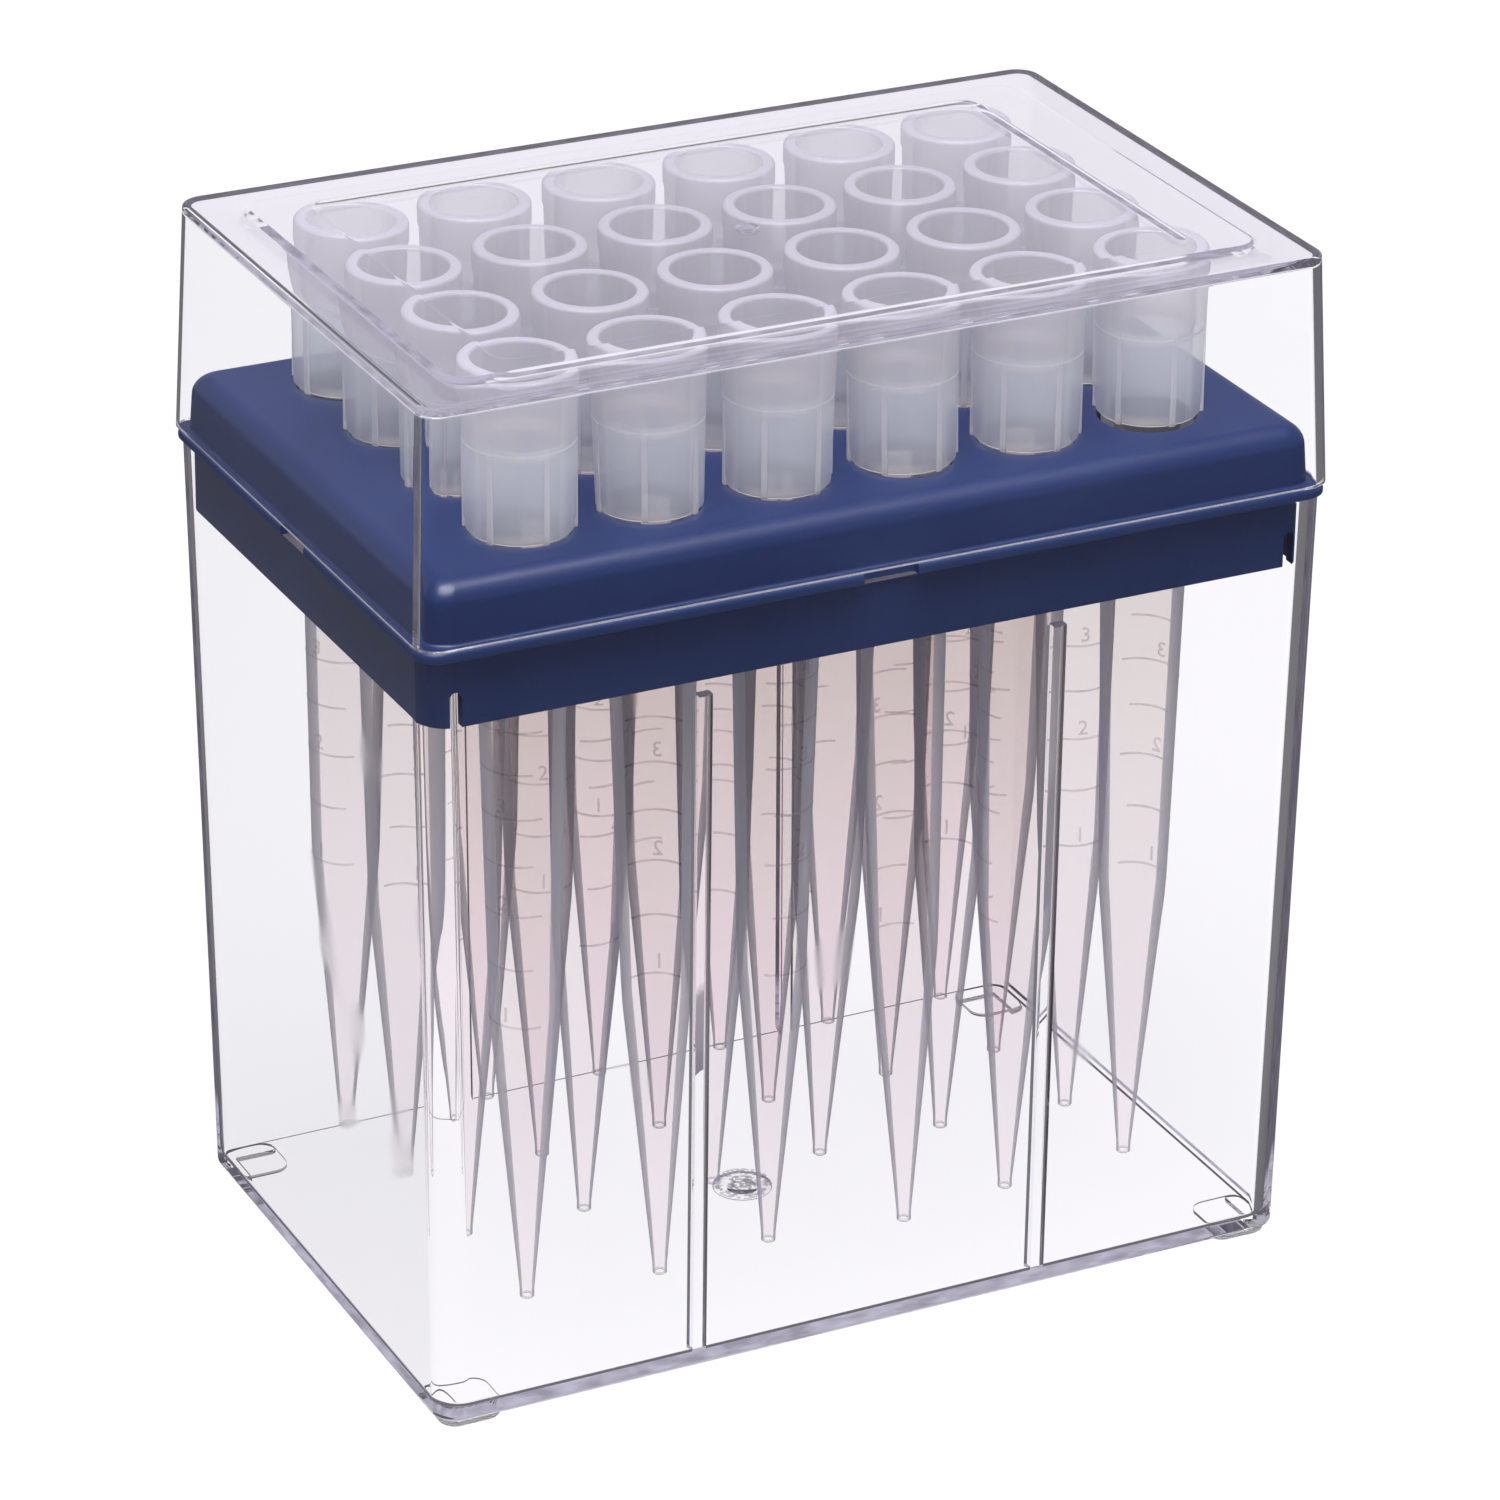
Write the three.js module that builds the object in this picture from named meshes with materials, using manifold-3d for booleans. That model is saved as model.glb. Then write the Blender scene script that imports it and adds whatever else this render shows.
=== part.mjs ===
// A lidded box of large pipette tips: a clear tub, a rack that lies on its rim, 24 tips that hang
// in the rack by their collars, and a clear lid over the collars.
// Units are millimetres, +Z up, +X along the rows of tips. The origin is the middle of the
// footprint, on the surface that the feet stand on.

import * as THREE from "three";
import { mergeVertices } from "three/addons/utils/BufferGeometryUtils.js";
import Module from "manifold-3d";

// ---------------------------------------------------------------- driving dimensions

// The grid of tips.
const COLUMNS = 6;
const ROWS = 4;
const RIM_SPACE = 2.8; // clear space between the rims of two neighbouring tips

// One tip, from its open end upwards.
const ORIFICE_DIAMETER = 1.1;
const NOZZLE_DIAMETER = 1.95; // outside, over the straight end
const NOZZLE_LENGTH = 1.3;
const KNEE_DIAMETER = 9.2; // outside, where the steep cone meets the slim one
const KNEE_HEIGHT = 41.8; // above the open end
const SHANK_LENGTH = 111.9; // open end to the foot of the collar
const SHANK_TOP_DIAMETER = 12.4; // outside, where it passes through the deck
const TIP_WALL = 0.55;
const SHOULDER = 0.7; // the collar's foot stands out from the shank by this much
const COLLAR_FLARE = 0.7; // the rim stands out from the collar's foot by this much
const COLLAR_HEIGHT = 21.4;
const RIM_BAND_HEIGHT = 3.2; // below the rim the collar draws in by RIM_BAND_STEP
const RIM_BAND_STEP = 0.2;
const RIM_ROUNDING = 0.6;
const BORE_LEDGE_DEPTH = 9.3; // below the rim
const BORE_LEDGE_HEIGHT = 1.3;
const BORE_LEDGE_STEP = 0.25; // the bore is this much wider above the ledge
const FIN_COUNT = 6;
const FIN_WIDTH = 0.8;
const FIN_REACH = 0.38; // a fin's outer edge stands out from the collar's foot by this much

// How far each tip is turned about its own axis, in degrees, front row first.
const TIP_TURNS = [
  [34, 0, 50, 44, 37, 28],
  [8, 52, 20, 37, 5, 17],
  [41, 14, 58, 25, 49, 10],
  [22, 46, 3, 31, 56, 38],
];

// Where each tip's open end hangs from plumb, as [along X, along Y] in millimetres, front row first.
const TIP_LEANS = [
  [[0.4, 1], [1.1, -0.8], [0.1, 0.8], [1.3, -2], [0.1, 0.3], [1.8, 2.2]],
  [[-0.3, 1.8], [-0.9, 1.2], [0.3, 0.6], [-0.7, 1.6], [0.1, 1.5], [1, -0.3]],
  [[0, 1.9], [0.3, -0.3], [0.5, 0.2], [-0.3, 0.5], [0.2, 0.4], [-0.5, 0.2]],
  [[-1.9, 0.3], [0.2, 0.3], [-0.5, 0], [0.4, -0.3], [0, 0.3], [0.3, 0.2]],
];

// The rack.
const DECK_END_MARGIN = 18; // outermost tip axis to the deck's end
const DECK_SIDE_MARGIN = 13.6; // outermost tip axis to the deck's side
const DECK_HEIGHT = 8; // above the flange
const DECK_THICKNESS = 1.6;
const DECK_DRAFT = 0.3;
const DECK_EDGE_RADIUS = 3;
const HOLE_CLEARANCE = 0.25; // radial, round the shank
const RACK_WALL = 1.4;
const FLANGE_THICKNESS = 1.6;
const FLANGE_WIDTH = 1.9; // stands out from the deck's side by this much
const SKIRT_DEPTH = 9.8; // below the flange
const SKIRT_CLEARANCE = 0.45; // to the tub's inner wall
const NOTCH_LENGTH = 7.8;
const NOTCH_DEPTH = 1.5;
const SLOT_WIDTH = 1.7;
const SLOT_HEIGHT = 4.9;
const SLOT_INSET = 2.7; // slot's middle to the skirt's end

// The tub.
const FOOT_HEIGHT = 1.2;
const FOOT_SIZE = 8.5;
const FOOT_INSET = 1; // from the tub's side
const FOOT_LIP = 2.5; // width of the lip that stands round a foot's pocket
const FOOT_POCKET_DEPTH = 0.7;
const TUB_FLOOR = 1.6;
const TUB_WALL = 1.5;
const TUB_DRAFT = 1.2; // each wall leans out by this much over its height
const TUB_EDGE_RADIUS = 0.8;
const RIM_SETBACK = 0.5; // the tub's rim lies in from the flange's edge by this much
const END_CLEARANCE = 6.4; // floor to the open ends of the tips
const RIB_WIDTH = 1.7;
const RIB_DEPTH = 2.1;
const RIB_CHAMFER = 0.8;
const RIB_SPACING = 51; // between the two ribs of one wall
const RIB_SKIRT_GAP = 1.9; // below the skirt
const GATE_DIAMETER = 7.4;
const GATE_DEPTH = 0.4;

// The lid.
const LID_WALL = 1.2;
const LID_ROOF = 1.4;
const LID_OVERHANG = 0.2; // the lid's foot stands out from the flange's edge by this much
const LID_DRAFT = 1.4;
const LID_EDGE_RADIUS = 1;
const LID_HEADROOM = 0.7; // above the rims of the tips
const BAND_HEIGHT = 0.6; // of the raised band on the roof
const BAND_SLOPE = 1.2; // width of each of its slopes
const BAND_INSET = 6.8; // from the roof's edge to the band's crest
const BAND_END_WIDTH = 7.5;
const BAND_SIDE_WIDTH = 3.4;

// Shared between the mouldings.
const CORNER_RADIUS = 3.2; // of every upright corner, outside
const BAND_CORNER_RADIUS = 3;
const SEAT_GAP = 0.3; // between a tip's collar and the deck
const ARC_STEPS = 4; // facets round a quarter of a corner
const ROUND_SEGMENTS = 12; // facets round a tip and a hole

// ---------------------------------------------------------------- derived sizes

const COLLAR_FOOT_RADIUS = SHANK_TOP_DIAMETER / 2 + SHOULDER;
const RIM_RADIUS = COLLAR_FOOT_RADIUS + COLLAR_FLARE;
const PITCH = 2 * RIM_RADIUS + RIM_SPACE;
const HOLE_RADIUS = SHANK_TOP_DIAMETER / 2 + HOLE_CLEARANCE;
const BORE_RADIUS = SHANK_TOP_DIAMETER / 2 - TIP_WALL;

// Half lengths and half widths, as [along X, along Y].
const grow = ([x, y], amount) => [x + amount, y + amount];
const DECK_HALF = [
  ((COLUMNS - 1) * PITCH) / 2 + DECK_END_MARGIN,
  ((ROWS - 1) * PITCH) / 2 + DECK_SIDE_MARGIN,
];
const FLANGE_HALF = grow(DECK_HALF, FLANGE_WIDTH);
const TUB_RIM_HALF = grow(FLANGE_HALF, -RIM_SETBACK);
const SKIRT_HALF = grow(TUB_RIM_HALF, -TUB_WALL - SKIRT_CLEARANCE);
const TUB_FOOT_HALF = grow(TUB_RIM_HALF, -TUB_DRAFT);
const LID_FOOT_HALF = grow(FLANGE_HALF, LID_OVERHANG);
const LID_ROOF_HALF = grow(LID_FOOT_HALF, -LID_DRAFT);
const BAND_HALF = grow(LID_ROOF_HALF, -BAND_INSET);
const PANEL_HALF = [BAND_HALF[0] - BAND_END_WIDTH, BAND_HALF[1] - BAND_SIDE_WIDTH];

// Heights above the surface that the box stands on.
const FLOOR_Z = FOOT_HEIGHT + TUB_FLOOR;
const TIP_END_Z = FLOOR_Z + END_CLEARANCE;
const COLLAR_FOOT_Z = TIP_END_Z + SHANK_LENGTH;
const RIM_Z = COLLAR_FOOT_Z + COLLAR_HEIGHT;
const DECK_Z = COLLAR_FOOT_Z - SEAT_GAP;
const FLANGE_Z = DECK_Z - DECK_HEIGHT;
const TUB_RIM_Z = FLANGE_Z - FLANGE_THICKNESS;
const SKIRT_Z = TUB_RIM_Z - SKIRT_DEPTH;
const RIB_Z = SKIRT_Z - RIB_SKIRT_GAP;
const ROOF_UNDER_Z = RIM_Z + LID_HEADROOM;
const ROOF_Z = ROOF_UNDER_Z + LID_ROOF;

// ---------------------------------------------------------------- solids

const wasm = await Module();
wasm.setup();

// A closed three.js geometry as a manifold-3d solid.
function solid(geometry) {
  const bare = geometry.clone();
  bare.deleteAttribute("normal");
  bare.deleteAttribute("uv");
  const merged = mergeVertices(bare, 1e-4);
  const mesh = new wasm.Mesh({
    numProp: 3,
    vertProperties: merged.attributes.position.array,
    triVerts: new Uint32Array(merged.index.array),
  });
  return new wasm.Manifold(mesh);
}

// A manifold-3d solid as a named three.js mesh.
function meshOf(name, body, material) {
  const data = body.getMesh();
  const geometry = new THREE.BufferGeometry();
  geometry.setAttribute("position", new THREE.BufferAttribute(data.vertProperties, 3));
  geometry.setIndex(new THREE.BufferAttribute(data.triVerts, 1));
  geometry.computeVertexNormals();
  const mesh = new THREE.Mesh(geometry, material);
  mesh.name = name;
  return mesh;
}

function roundedRectangle([x, y], radius) {
  const shape = new THREE.Shape();
  const quarter = Math.PI / 2;
  shape.absarc(x - radius, y - radius, radius, 0, quarter, false);
  shape.absarc(radius - x, y - radius, radius, quarter, 2 * quarter, false);
  shape.absarc(radius - x, radius - y, radius, 2 * quarter, 3 * quarter, false);
  shape.absarc(x - radius, radius - y, radius, 3 * quarter, 4 * quarter, false);
  return shape;
}

// A rounded rectangle carried up through levels of [height, growth], where growth moves every
// side outwards. The corner radius is that of a level whose growth is 0.
function stack(half, radius, levels) {
  const shape = roundedRectangle(half, radius);
  const steps = levels.length - 1;
  const options = { depth: steps, steps, bevelEnabled: false, curveSegments: ARC_STEPS };
  const geometry = new THREE.ExtrudeGeometry(shape, options);
  const place = geometry.attributes.position;
  for (let i = 0; i < place.count; i += 1) {
    const [height, growth] = levels[Math.round(place.getZ(i))];
    const x = place.getX(i);
    const y = place.getY(i);
    place.setXYZ(i, x + Math.sign(x) * growth, y + Math.sign(y) * growth, height);
  }
  return solid(geometry);
}

// Levels of a side that ends in a rounded edge of the given radius at the given height.
function roundedEdge(z, growth, radius, steps) {
  const levels = [];
  for (let i = 0; i <= steps; i += 1) {
    const angle = (Math.PI / 2) * (i / steps);
    levels.push([z - radius + radius * Math.sin(angle), growth - radius * (1 - Math.cos(angle))]);
  }
  return levels;
}

// A block between two corners.
function block([x0, y0, z0], [x1, y1, z1]) {
  const geometry = new THREE.BoxGeometry(x1 - x0, y1 - y0, z1 - z0);
  geometry.translate((x0 + x1) / 2, (y0 + y1) / 2, (z0 + z1) / 2);
  return solid(geometry);
}

// An upright round post with its foot at z, whose facets touch the given radius from outside.
function post(radius, height, x, y, z) {
  const reach = radius / Math.cos(Math.PI / ROUND_SEGMENTS);
  const geometry = new THREE.CylinderGeometry(reach, reach, height, ROUND_SEGMENTS);
  geometry.rotateX(Math.PI / 2);
  geometry.translate(x, y, z + height / 2);
  return solid(geometry);
}

// Calls make(sideX, sideY) for the four corners and returns the results.
function corners(make) {
  return [-1, 1].flatMap((sideX) => [-1, 1].map((sideY) => make(sideX, sideY)));
}

// ---------------------------------------------------------------- the tub

// Growth of the tub's wall at a height, counted from its foot.
const tubLean = (z) => (TUB_DRAFT * (z - FOOT_HEIGHT)) / (TUB_RIM_Z - FOOT_HEIGHT);

// An L-shaped lip under each corner, with a shallow pocket behind it.
function foot(sideX, sideY) {
  const outer = [TUB_FOOT_HALF[0] - FOOT_INSET, TUB_FOOT_HALF[1] - FOOT_INSET];
  const middle = outer.map((reach) => reach - FOOT_SIZE / 2);
  const pad = stack([FOOT_SIZE / 2, FOOT_SIZE / 2], CORNER_RADIUS - FOOT_INSET, [
    [0, 0],
    [FOOT_HEIGHT + TUB_FLOOR / 2, 0],
  ]).translate(sideX * middle[0], sideY * middle[1], 0);
  const inner = outer.map((reach) => reach - FOOT_LIP);
  const low = outer.map((reach) => reach - FOOT_SIZE - 1);
  const xs = [sideX * inner[0], sideX * low[0]].sort((a, b) => a - b);
  const ys = [sideY * inner[1], sideY * low[1]].sort((a, b) => a - b);
  return pad.subtract(block([xs[0], ys[0], -1], [xs[1], ys[1], FOOT_POCKET_DEPTH]));
}

// A rib up the inside of a long wall, with its section in the Y-Z plane.
function rib(sideX, sideY) {
  const wall = (z) => TUB_FOOT_HALF[1] + tubLean(z) - TUB_WALL;
  const buried = TUB_WALL / 2;
  const profile = new THREE.Shape([
    new THREE.Vector2(wall(FLOOR_Z) + buried, FLOOR_Z - TUB_FLOOR / 2),
    new THREE.Vector2(wall(RIB_Z) + buried, RIB_Z),
    new THREE.Vector2(wall(RIB_Z) - RIB_DEPTH + RIB_CHAMFER, RIB_Z),
    new THREE.Vector2(wall(RIB_Z) - RIB_DEPTH, RIB_Z - RIB_CHAMFER),
    new THREE.Vector2(wall(FLOOR_Z) - RIB_DEPTH, FLOOR_Z - TUB_FLOOR / 2),
  ]);
  const geometry = new THREE.ExtrudeGeometry(profile, { depth: RIB_WIDTH, bevelEnabled: false });
  geometry.translate(0, 0, -RIB_WIDTH / 2);
  geometry.rotateX(Math.PI / 2);
  geometry.rotateZ(Math.PI / 2);
  const body = solid(geometry).translate((sideX * RIB_SPACING) / 2, 0, 0);
  return sideY > 0 ? body : body.mirror([0, 1, 0]);
}

function tub() {
  const outer = stack(TUB_FOOT_HALF, CORNER_RADIUS, [
    [FOOT_HEIGHT, -TUB_EDGE_RADIUS],
    [FOOT_HEIGHT + 0.3 * TUB_EDGE_RADIUS, -0.3 * TUB_EDGE_RADIUS],
    [FOOT_HEIGHT + TUB_EDGE_RADIUS, tubLean(FOOT_HEIGHT + TUB_EDGE_RADIUS)],
    [TUB_RIM_Z, TUB_DRAFT],
  ]);
  const inner = stack(grow(TUB_FOOT_HALF, -TUB_WALL), CORNER_RADIUS - TUB_WALL, [
    [FLOOR_Z, -TUB_EDGE_RADIUS],
    [FLOOR_Z + TUB_EDGE_RADIUS, tubLean(FLOOR_Z + TUB_EDGE_RADIUS)],
    [TUB_RIM_Z, TUB_DRAFT],
    [TUB_RIM_Z + 1, TUB_DRAFT],
  ]);
  const shell = outer.subtract(inner);
  const gate = post(GATE_DIAMETER / 2, FOOT_HEIGHT + GATE_DEPTH, 0, 0, 0);
  return wasm.Manifold.union([shell, ...corners(foot), ...corners(rib)]).subtract(gate);
}

// ---------------------------------------------------------------- the rack

function tipPlaces() {
  const places = [];
  for (let row = 0; row < ROWS; row += 1) {
    for (let column = 0; column < COLUMNS; column += 1) {
      const x = (column - (COLUMNS - 1) / 2) * PITCH;
      const y = (row - (ROWS - 1) / 2) * PITCH;
      places.push({ row, column, x, y });
    }
  }
  return places;
}

// A round-topped slot up through the skirt, near a corner.
function skirtSlot(sideX, sideY) {
  const x = sideX * (SKIRT_HALF[0] - SLOT_INSET);
  const y = sideY * SKIRT_HALF[1];
  const radius = SLOT_WIDTH / 2;
  const shape = new THREE.Shape();
  shape.moveTo(-radius, -1);
  shape.lineTo(radius, -1);
  shape.absarc(0, SLOT_HEIGHT - radius, radius, 0, Math.PI, false);
  const depth = 4 * RACK_WALL;
  const options = { depth, bevelEnabled: false, curveSegments: ARC_STEPS };
  const geometry = new THREE.ExtrudeGeometry(shape, options);
  geometry.translate(0, 0, -depth / 2);
  geometry.rotateX(Math.PI / 2);
  geometry.translate(x, y, SKIRT_Z);
  return solid(geometry);
}

function rack() {
  const deckRise = DECK_Z - DECK_EDGE_RADIUS;
  const deck = stack(DECK_HALF, CORNER_RADIUS, [
    [TUB_RIM_Z, 0],
    [FLANGE_Z, 0],
    ...roundedEdge(DECK_Z, -DECK_DRAFT, DECK_EDGE_RADIUS, 4),
  ]);
  const flange = stack(FLANGE_HALF, CORNER_RADIUS, [
    [TUB_RIM_Z, 0],
    [FLANGE_Z, 0],
  ]);
  const skirt = stack(SKIRT_HALF, CORNER_RADIUS - TUB_WALL, [
    [SKIRT_Z, 0],
    [FLANGE_Z, 0],
  ]);
  const under = stack(grow(SKIRT_HALF, -RACK_WALL), CORNER_RADIUS - RACK_WALL, [
    [SKIRT_Z - 1, 0],
    [deckRise, -DECK_DRAFT],
    [DECK_Z - DECK_THICKNESS, -DECK_DRAFT - DECK_EDGE_RADIUS / 2],
  ]);
  const holes = tipPlaces().map(({ x, y }) =>
    post(HOLE_RADIUS, 4 * DECK_THICKNESS, x, y, DECK_Z - 3 * DECK_THICKNESS),
  );
  const notches = [-1, 1].flatMap((side) => {
    const [x, y] = [side * FLANGE_HALF[0], side * FLANGE_HALF[1]];
    const [low, high] = [TUB_RIM_Z - 1, FLANGE_Z + 1];
    const half = NOTCH_LENGTH / 2;
    return [
      block([x - NOTCH_DEPTH, -half, low], [x + NOTCH_DEPTH, half, high]),
      block([-half, y - NOTCH_DEPTH, low], [half, y + NOTCH_DEPTH, high]),
    ];
  });
  const cuts = wasm.Manifold.union([under, ...holes, ...notches, ...corners(skirtSlot)]);
  return wasm.Manifold.union([deck, flange, skirt]).subtract(cuts);
}

// ---------------------------------------------------------------- the lid

function lid() {
  const outer = stack(LID_FOOT_HALF, CORNER_RADIUS, [
    [FLANGE_Z, 0],
    ...roundedEdge(ROOF_Z, -LID_DRAFT, LID_EDGE_RADIUS, 3),
  ]);
  const inner = stack(grow(LID_FOOT_HALF, -LID_WALL), CORNER_RADIUS - LID_WALL, [
    [FLANGE_Z - 1, 0],
    [FLANGE_Z, 0],
    [ROOF_UNDER_Z, -LID_DRAFT],
  ]);
  const band = stack(BAND_HALF, BAND_CORNER_RADIUS, [
    [ROOF_Z - LID_ROOF / 2, BAND_SLOPE],
    [ROOF_Z, BAND_SLOPE],
    [ROOF_Z + BAND_HEIGHT, 0],
  ]);
  const panel = stack(PANEL_HALF, BAND_CORNER_RADIUS, [
    [ROOF_Z, -BAND_SLOPE],
    [ROOF_Z + BAND_HEIGHT, 0],
    [ROOF_Z + BAND_HEIGHT + 1, 0],
  ]);
  return outer.add(band).subtract(inner).subtract(panel);
}

// ---------------------------------------------------------------- a tip

// The tip's section, as [radius, height] above the collar's foot, up the outside and down the bore.
function tipProfile() {
  const end = -SHANK_LENGTH;
  const knee = end + KNEE_HEIGHT;
  const nozzle = end + NOZZLE_LENGTH;
  const bandFoot = COLLAR_HEIGHT - RIM_BAND_HEIGHT;
  const ledge = COLLAR_HEIGHT - BORE_LEDGE_DEPTH;
  const outside = [
    [NOZZLE_DIAMETER / 2, end],
    [NOZZLE_DIAMETER / 2, nozzle],
    [KNEE_DIAMETER / 2, knee],
    [SHANK_TOP_DIAMETER / 2, 0],
    [COLLAR_FOOT_RADIUS, 0],
    [RIM_RADIUS - RIM_BAND_STEP, bandFoot],
    [RIM_RADIUS, COLLAR_HEIGHT - RIM_ROUNDING],
    [RIM_RADIUS - RIM_ROUNDING, COLLAR_HEIGHT],
  ];
  const bore = [
    [BORE_RADIUS + BORE_LEDGE_STEP, COLLAR_HEIGHT],
    [BORE_RADIUS + BORE_LEDGE_STEP, ledge],
    [BORE_RADIUS, ledge - BORE_LEDGE_HEIGHT],
    [BORE_RADIUS, 0],
    [KNEE_DIAMETER / 2 - TIP_WALL, knee],
    [ORIFICE_DIAMETER / 2, nozzle],
    [ORIFICE_DIAMETER / 2, end],
  ];
  return [...outside, ...bore, outside[0]].map(([radius, z]) => new THREE.Vector2(radius, z));
}

// Upright fins round the collar, which run out where the collar widens to meet them.
function fins() {
  const inner = (BORE_RADIUS + COLLAR_FOOT_RADIUS) / 2;
  const outer = COLLAR_FOOT_RADIUS + FIN_REACH;
  const top = COLLAR_HEIGHT - RIM_BAND_HEIGHT - 1;
  const fin = block([inner, -FIN_WIDTH / 2, 0], [outer, FIN_WIDTH / 2, top]);
  return Array.from({ length: FIN_COUNT }, (_, i) => fin.rotate([0, 0, (360 / FIN_COUNT) * i]));
}

function tip() {
  const turned = new THREE.LatheGeometry(tipProfile(), ROUND_SEGMENTS);
  turned.rotateX(Math.PI / 2);
  return wasm.Manifold.union([solid(turned), ...fins()]);
}

// ---------------------------------------------------------------- the assembly

const clearPlastic = new THREE.MeshStandardMaterial({
  color: "#e2e0ee",
  roughness: 0.08,
  metalness: 0,
  transparent: true,
  opacity: 0.3,
});
const navyPlastic = new THREE.MeshStandardMaterial({ color: "#2a3767", roughness: 0.42, metalness: 0 });
const tipPlastic = new THREE.MeshStandardMaterial({
  color: "#cfccd2",
  roughness: 0.35,
  metalness: 0,
  transparent: true,
  opacity: 0.75,
});

const box = new THREE.Group();
box.add(meshOf("base_box", tub(), clearPlastic));
box.add(meshOf("tip_rack", rack(), navyPlastic));
box.add(meshOf("lid", lid(), clearPlastic));

const tipSolid = tip();
for (const { row, column, x, y } of tipPlaces()) {
  const mesh = meshOf(`tip_r${row + 1}_c${column + 1}`, tipSolid, tipPlastic);
  const [leanX, leanY] = TIP_LEANS[row][column];
  mesh.position.set(x, y, COLLAR_FOOT_Z);
  mesh.rotation.set(leanY / SHANK_LENGTH, -leanX / SHANK_LENGTH, 0);
  mesh.rotateZ(THREE.MathUtils.degToRad(TIP_TURNS[row][column]));
  box.add(mesh);
}

export default box;
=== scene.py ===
"""A lidded clear box with a rack of 24 large pipette tips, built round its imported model.

The file is laid out as an add-on. Sizes and colours are properties, each group of pieces has an
operator, and main() calls the operators in order. Lengths are in metres.
"""

import math

import bmesh
import bpy
import numpy as np
from mathutils import Matrix, Vector


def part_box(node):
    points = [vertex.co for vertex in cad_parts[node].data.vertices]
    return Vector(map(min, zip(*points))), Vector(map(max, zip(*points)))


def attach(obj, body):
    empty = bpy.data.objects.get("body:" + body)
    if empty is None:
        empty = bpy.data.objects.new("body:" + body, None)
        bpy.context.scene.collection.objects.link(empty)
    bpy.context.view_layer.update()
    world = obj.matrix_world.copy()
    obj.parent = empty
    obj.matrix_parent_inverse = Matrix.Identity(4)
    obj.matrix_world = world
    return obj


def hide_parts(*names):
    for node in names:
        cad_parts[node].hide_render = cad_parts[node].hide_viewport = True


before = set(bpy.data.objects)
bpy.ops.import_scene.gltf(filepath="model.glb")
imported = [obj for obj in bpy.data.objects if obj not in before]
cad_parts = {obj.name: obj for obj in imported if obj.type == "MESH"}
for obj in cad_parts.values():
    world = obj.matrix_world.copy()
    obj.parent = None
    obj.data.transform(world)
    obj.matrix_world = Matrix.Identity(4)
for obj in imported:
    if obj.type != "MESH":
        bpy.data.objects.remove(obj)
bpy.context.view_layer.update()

bl_info = {
    "name": "Pipette Tip Box",
    "version": (1, 0, 0),
    "blender": (4, 5, 0),
    "location": "View3D > Sidebar > Tip Box",
    "description": "Builds a clear lidded box with a rack of 24 large pipette tips",
    "category": "Add Mesh",
}

MM = 0.001
# Outer radius of the upright corners of rack and lid.
CORNER = 3.2 * MM
# As close to the axis as the section of a turned cutter comes.
AXIS = 0.02 * MM
# Edges that are sharper than this stay sharp when a piece is shaded smooth.
CREASE = math.radians(32)
# The point that the camera looks at, and the large lamp's place, aim and side.
CAMERA_AIM = Vector((0.33, -1.36, 69.76)) * MM
KEY_PLACE = Vector((-0.12, -0.25, 1.04))
KEY_AIM = Vector((0, 0, 0.08))
KEY_SIDE = 0.7
# Half the floor's side, and how much of it is plain white to the eye. The rest shows the shadow.
FLOOR_REACH = 6.0
FLOOR_WHITE = 0.88
# Seed of the small difference in tone from tip to tip.
TONE_SEED = 4
ROWS = 4
COLUMNS = 6
TIP_NODES = [f"tip_r{row + 1}_c{column + 1}" for row in range(ROWS) for column in range(COLUMNS)]
# A font's size over the height of its numerals.
FONT_OVER_NUMERAL = 1.4
# How many fins each tip's graduations stand from its first fin, in the order of TIP_NODES.
GRADUATION_TURNS = (4, 1, 5, 2, 3, 0, 2, 5, 0, 3, 1, 4, 1, 4, 2, 0, 5, 3, 3, 0, 4, 1, 2, 5)


# ---------------------------------------------------------------- properties


def length(name, millimetres, description):
    """A length property, written in millimetres and kept in metres."""
    return bpy.props.FloatProperty(
        name=name, description=description, default=millimetres * MM, min=0, precision=5,
        unit="LENGTH",
    )


def number(name, default, description):
    return bpy.props.FloatProperty(name=name, description=description, default=default, precision=3)


def colour(name, default, description):
    return bpy.props.FloatVectorProperty(
        name=name, description=description, default=default, min=0, max=1, size=3, subtype="COLOR"
    )


def degrees(name, default, description):
    return bpy.props.FloatProperty(
        name=name, description=description, default=math.radians(default), unit="ROTATION"
    )


class TubSettings(bpy.types.PropertyGroup):
    wall: length("Wall", 1.5, "Thickness of the side walls")
    floor: length("Floor", 1.6, "Thickness of the floor")
    draft: length("Draft", 1.2, "How far each wall leans out over its height")
    corner: length("Corner Radius", 3.2, "Radius of the upright corners, outside")
    inner_corner: length("Inner Corner Radius", 3.0, "Radius of the upright corners, inside")
    edge: length("Edge Radius", 0.8, "Radius of the edge between walls and floor")
    foot_height: length("Foot Height", 1.2, "Height of the four feet")
    foot_size: length("Foot Size", 8.5, "Side of a foot")
    foot_inset: length("Foot Inset", 1.0, "Distance of a foot from the tub's side")
    foot_lip: length("Foot Lip", 2.5, "Width of the lip round a foot's pocket")
    foot_pocket: length("Foot Pocket", 0.7, "Depth of a foot's pocket")
    rib_width: length("Rib Width", 2.0, "Width of a rib")
    rib_depth: length("Rib Depth", 2.1, "How far a rib stands in from the wall")
    rib_chamfer: length("Rib Chamfer", 0.8, "Slope at the top of a rib")
    rib_spacing: length("Rib Spacing", 51.0, "Distance between the two ribs of one wall")
    rib_top: length("Rib Top", 99.5, "Height of the top of the ribs")
    gate: length("Gate Mark", 8.4, "Diameter of the round moulding mark under the floor")


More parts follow.
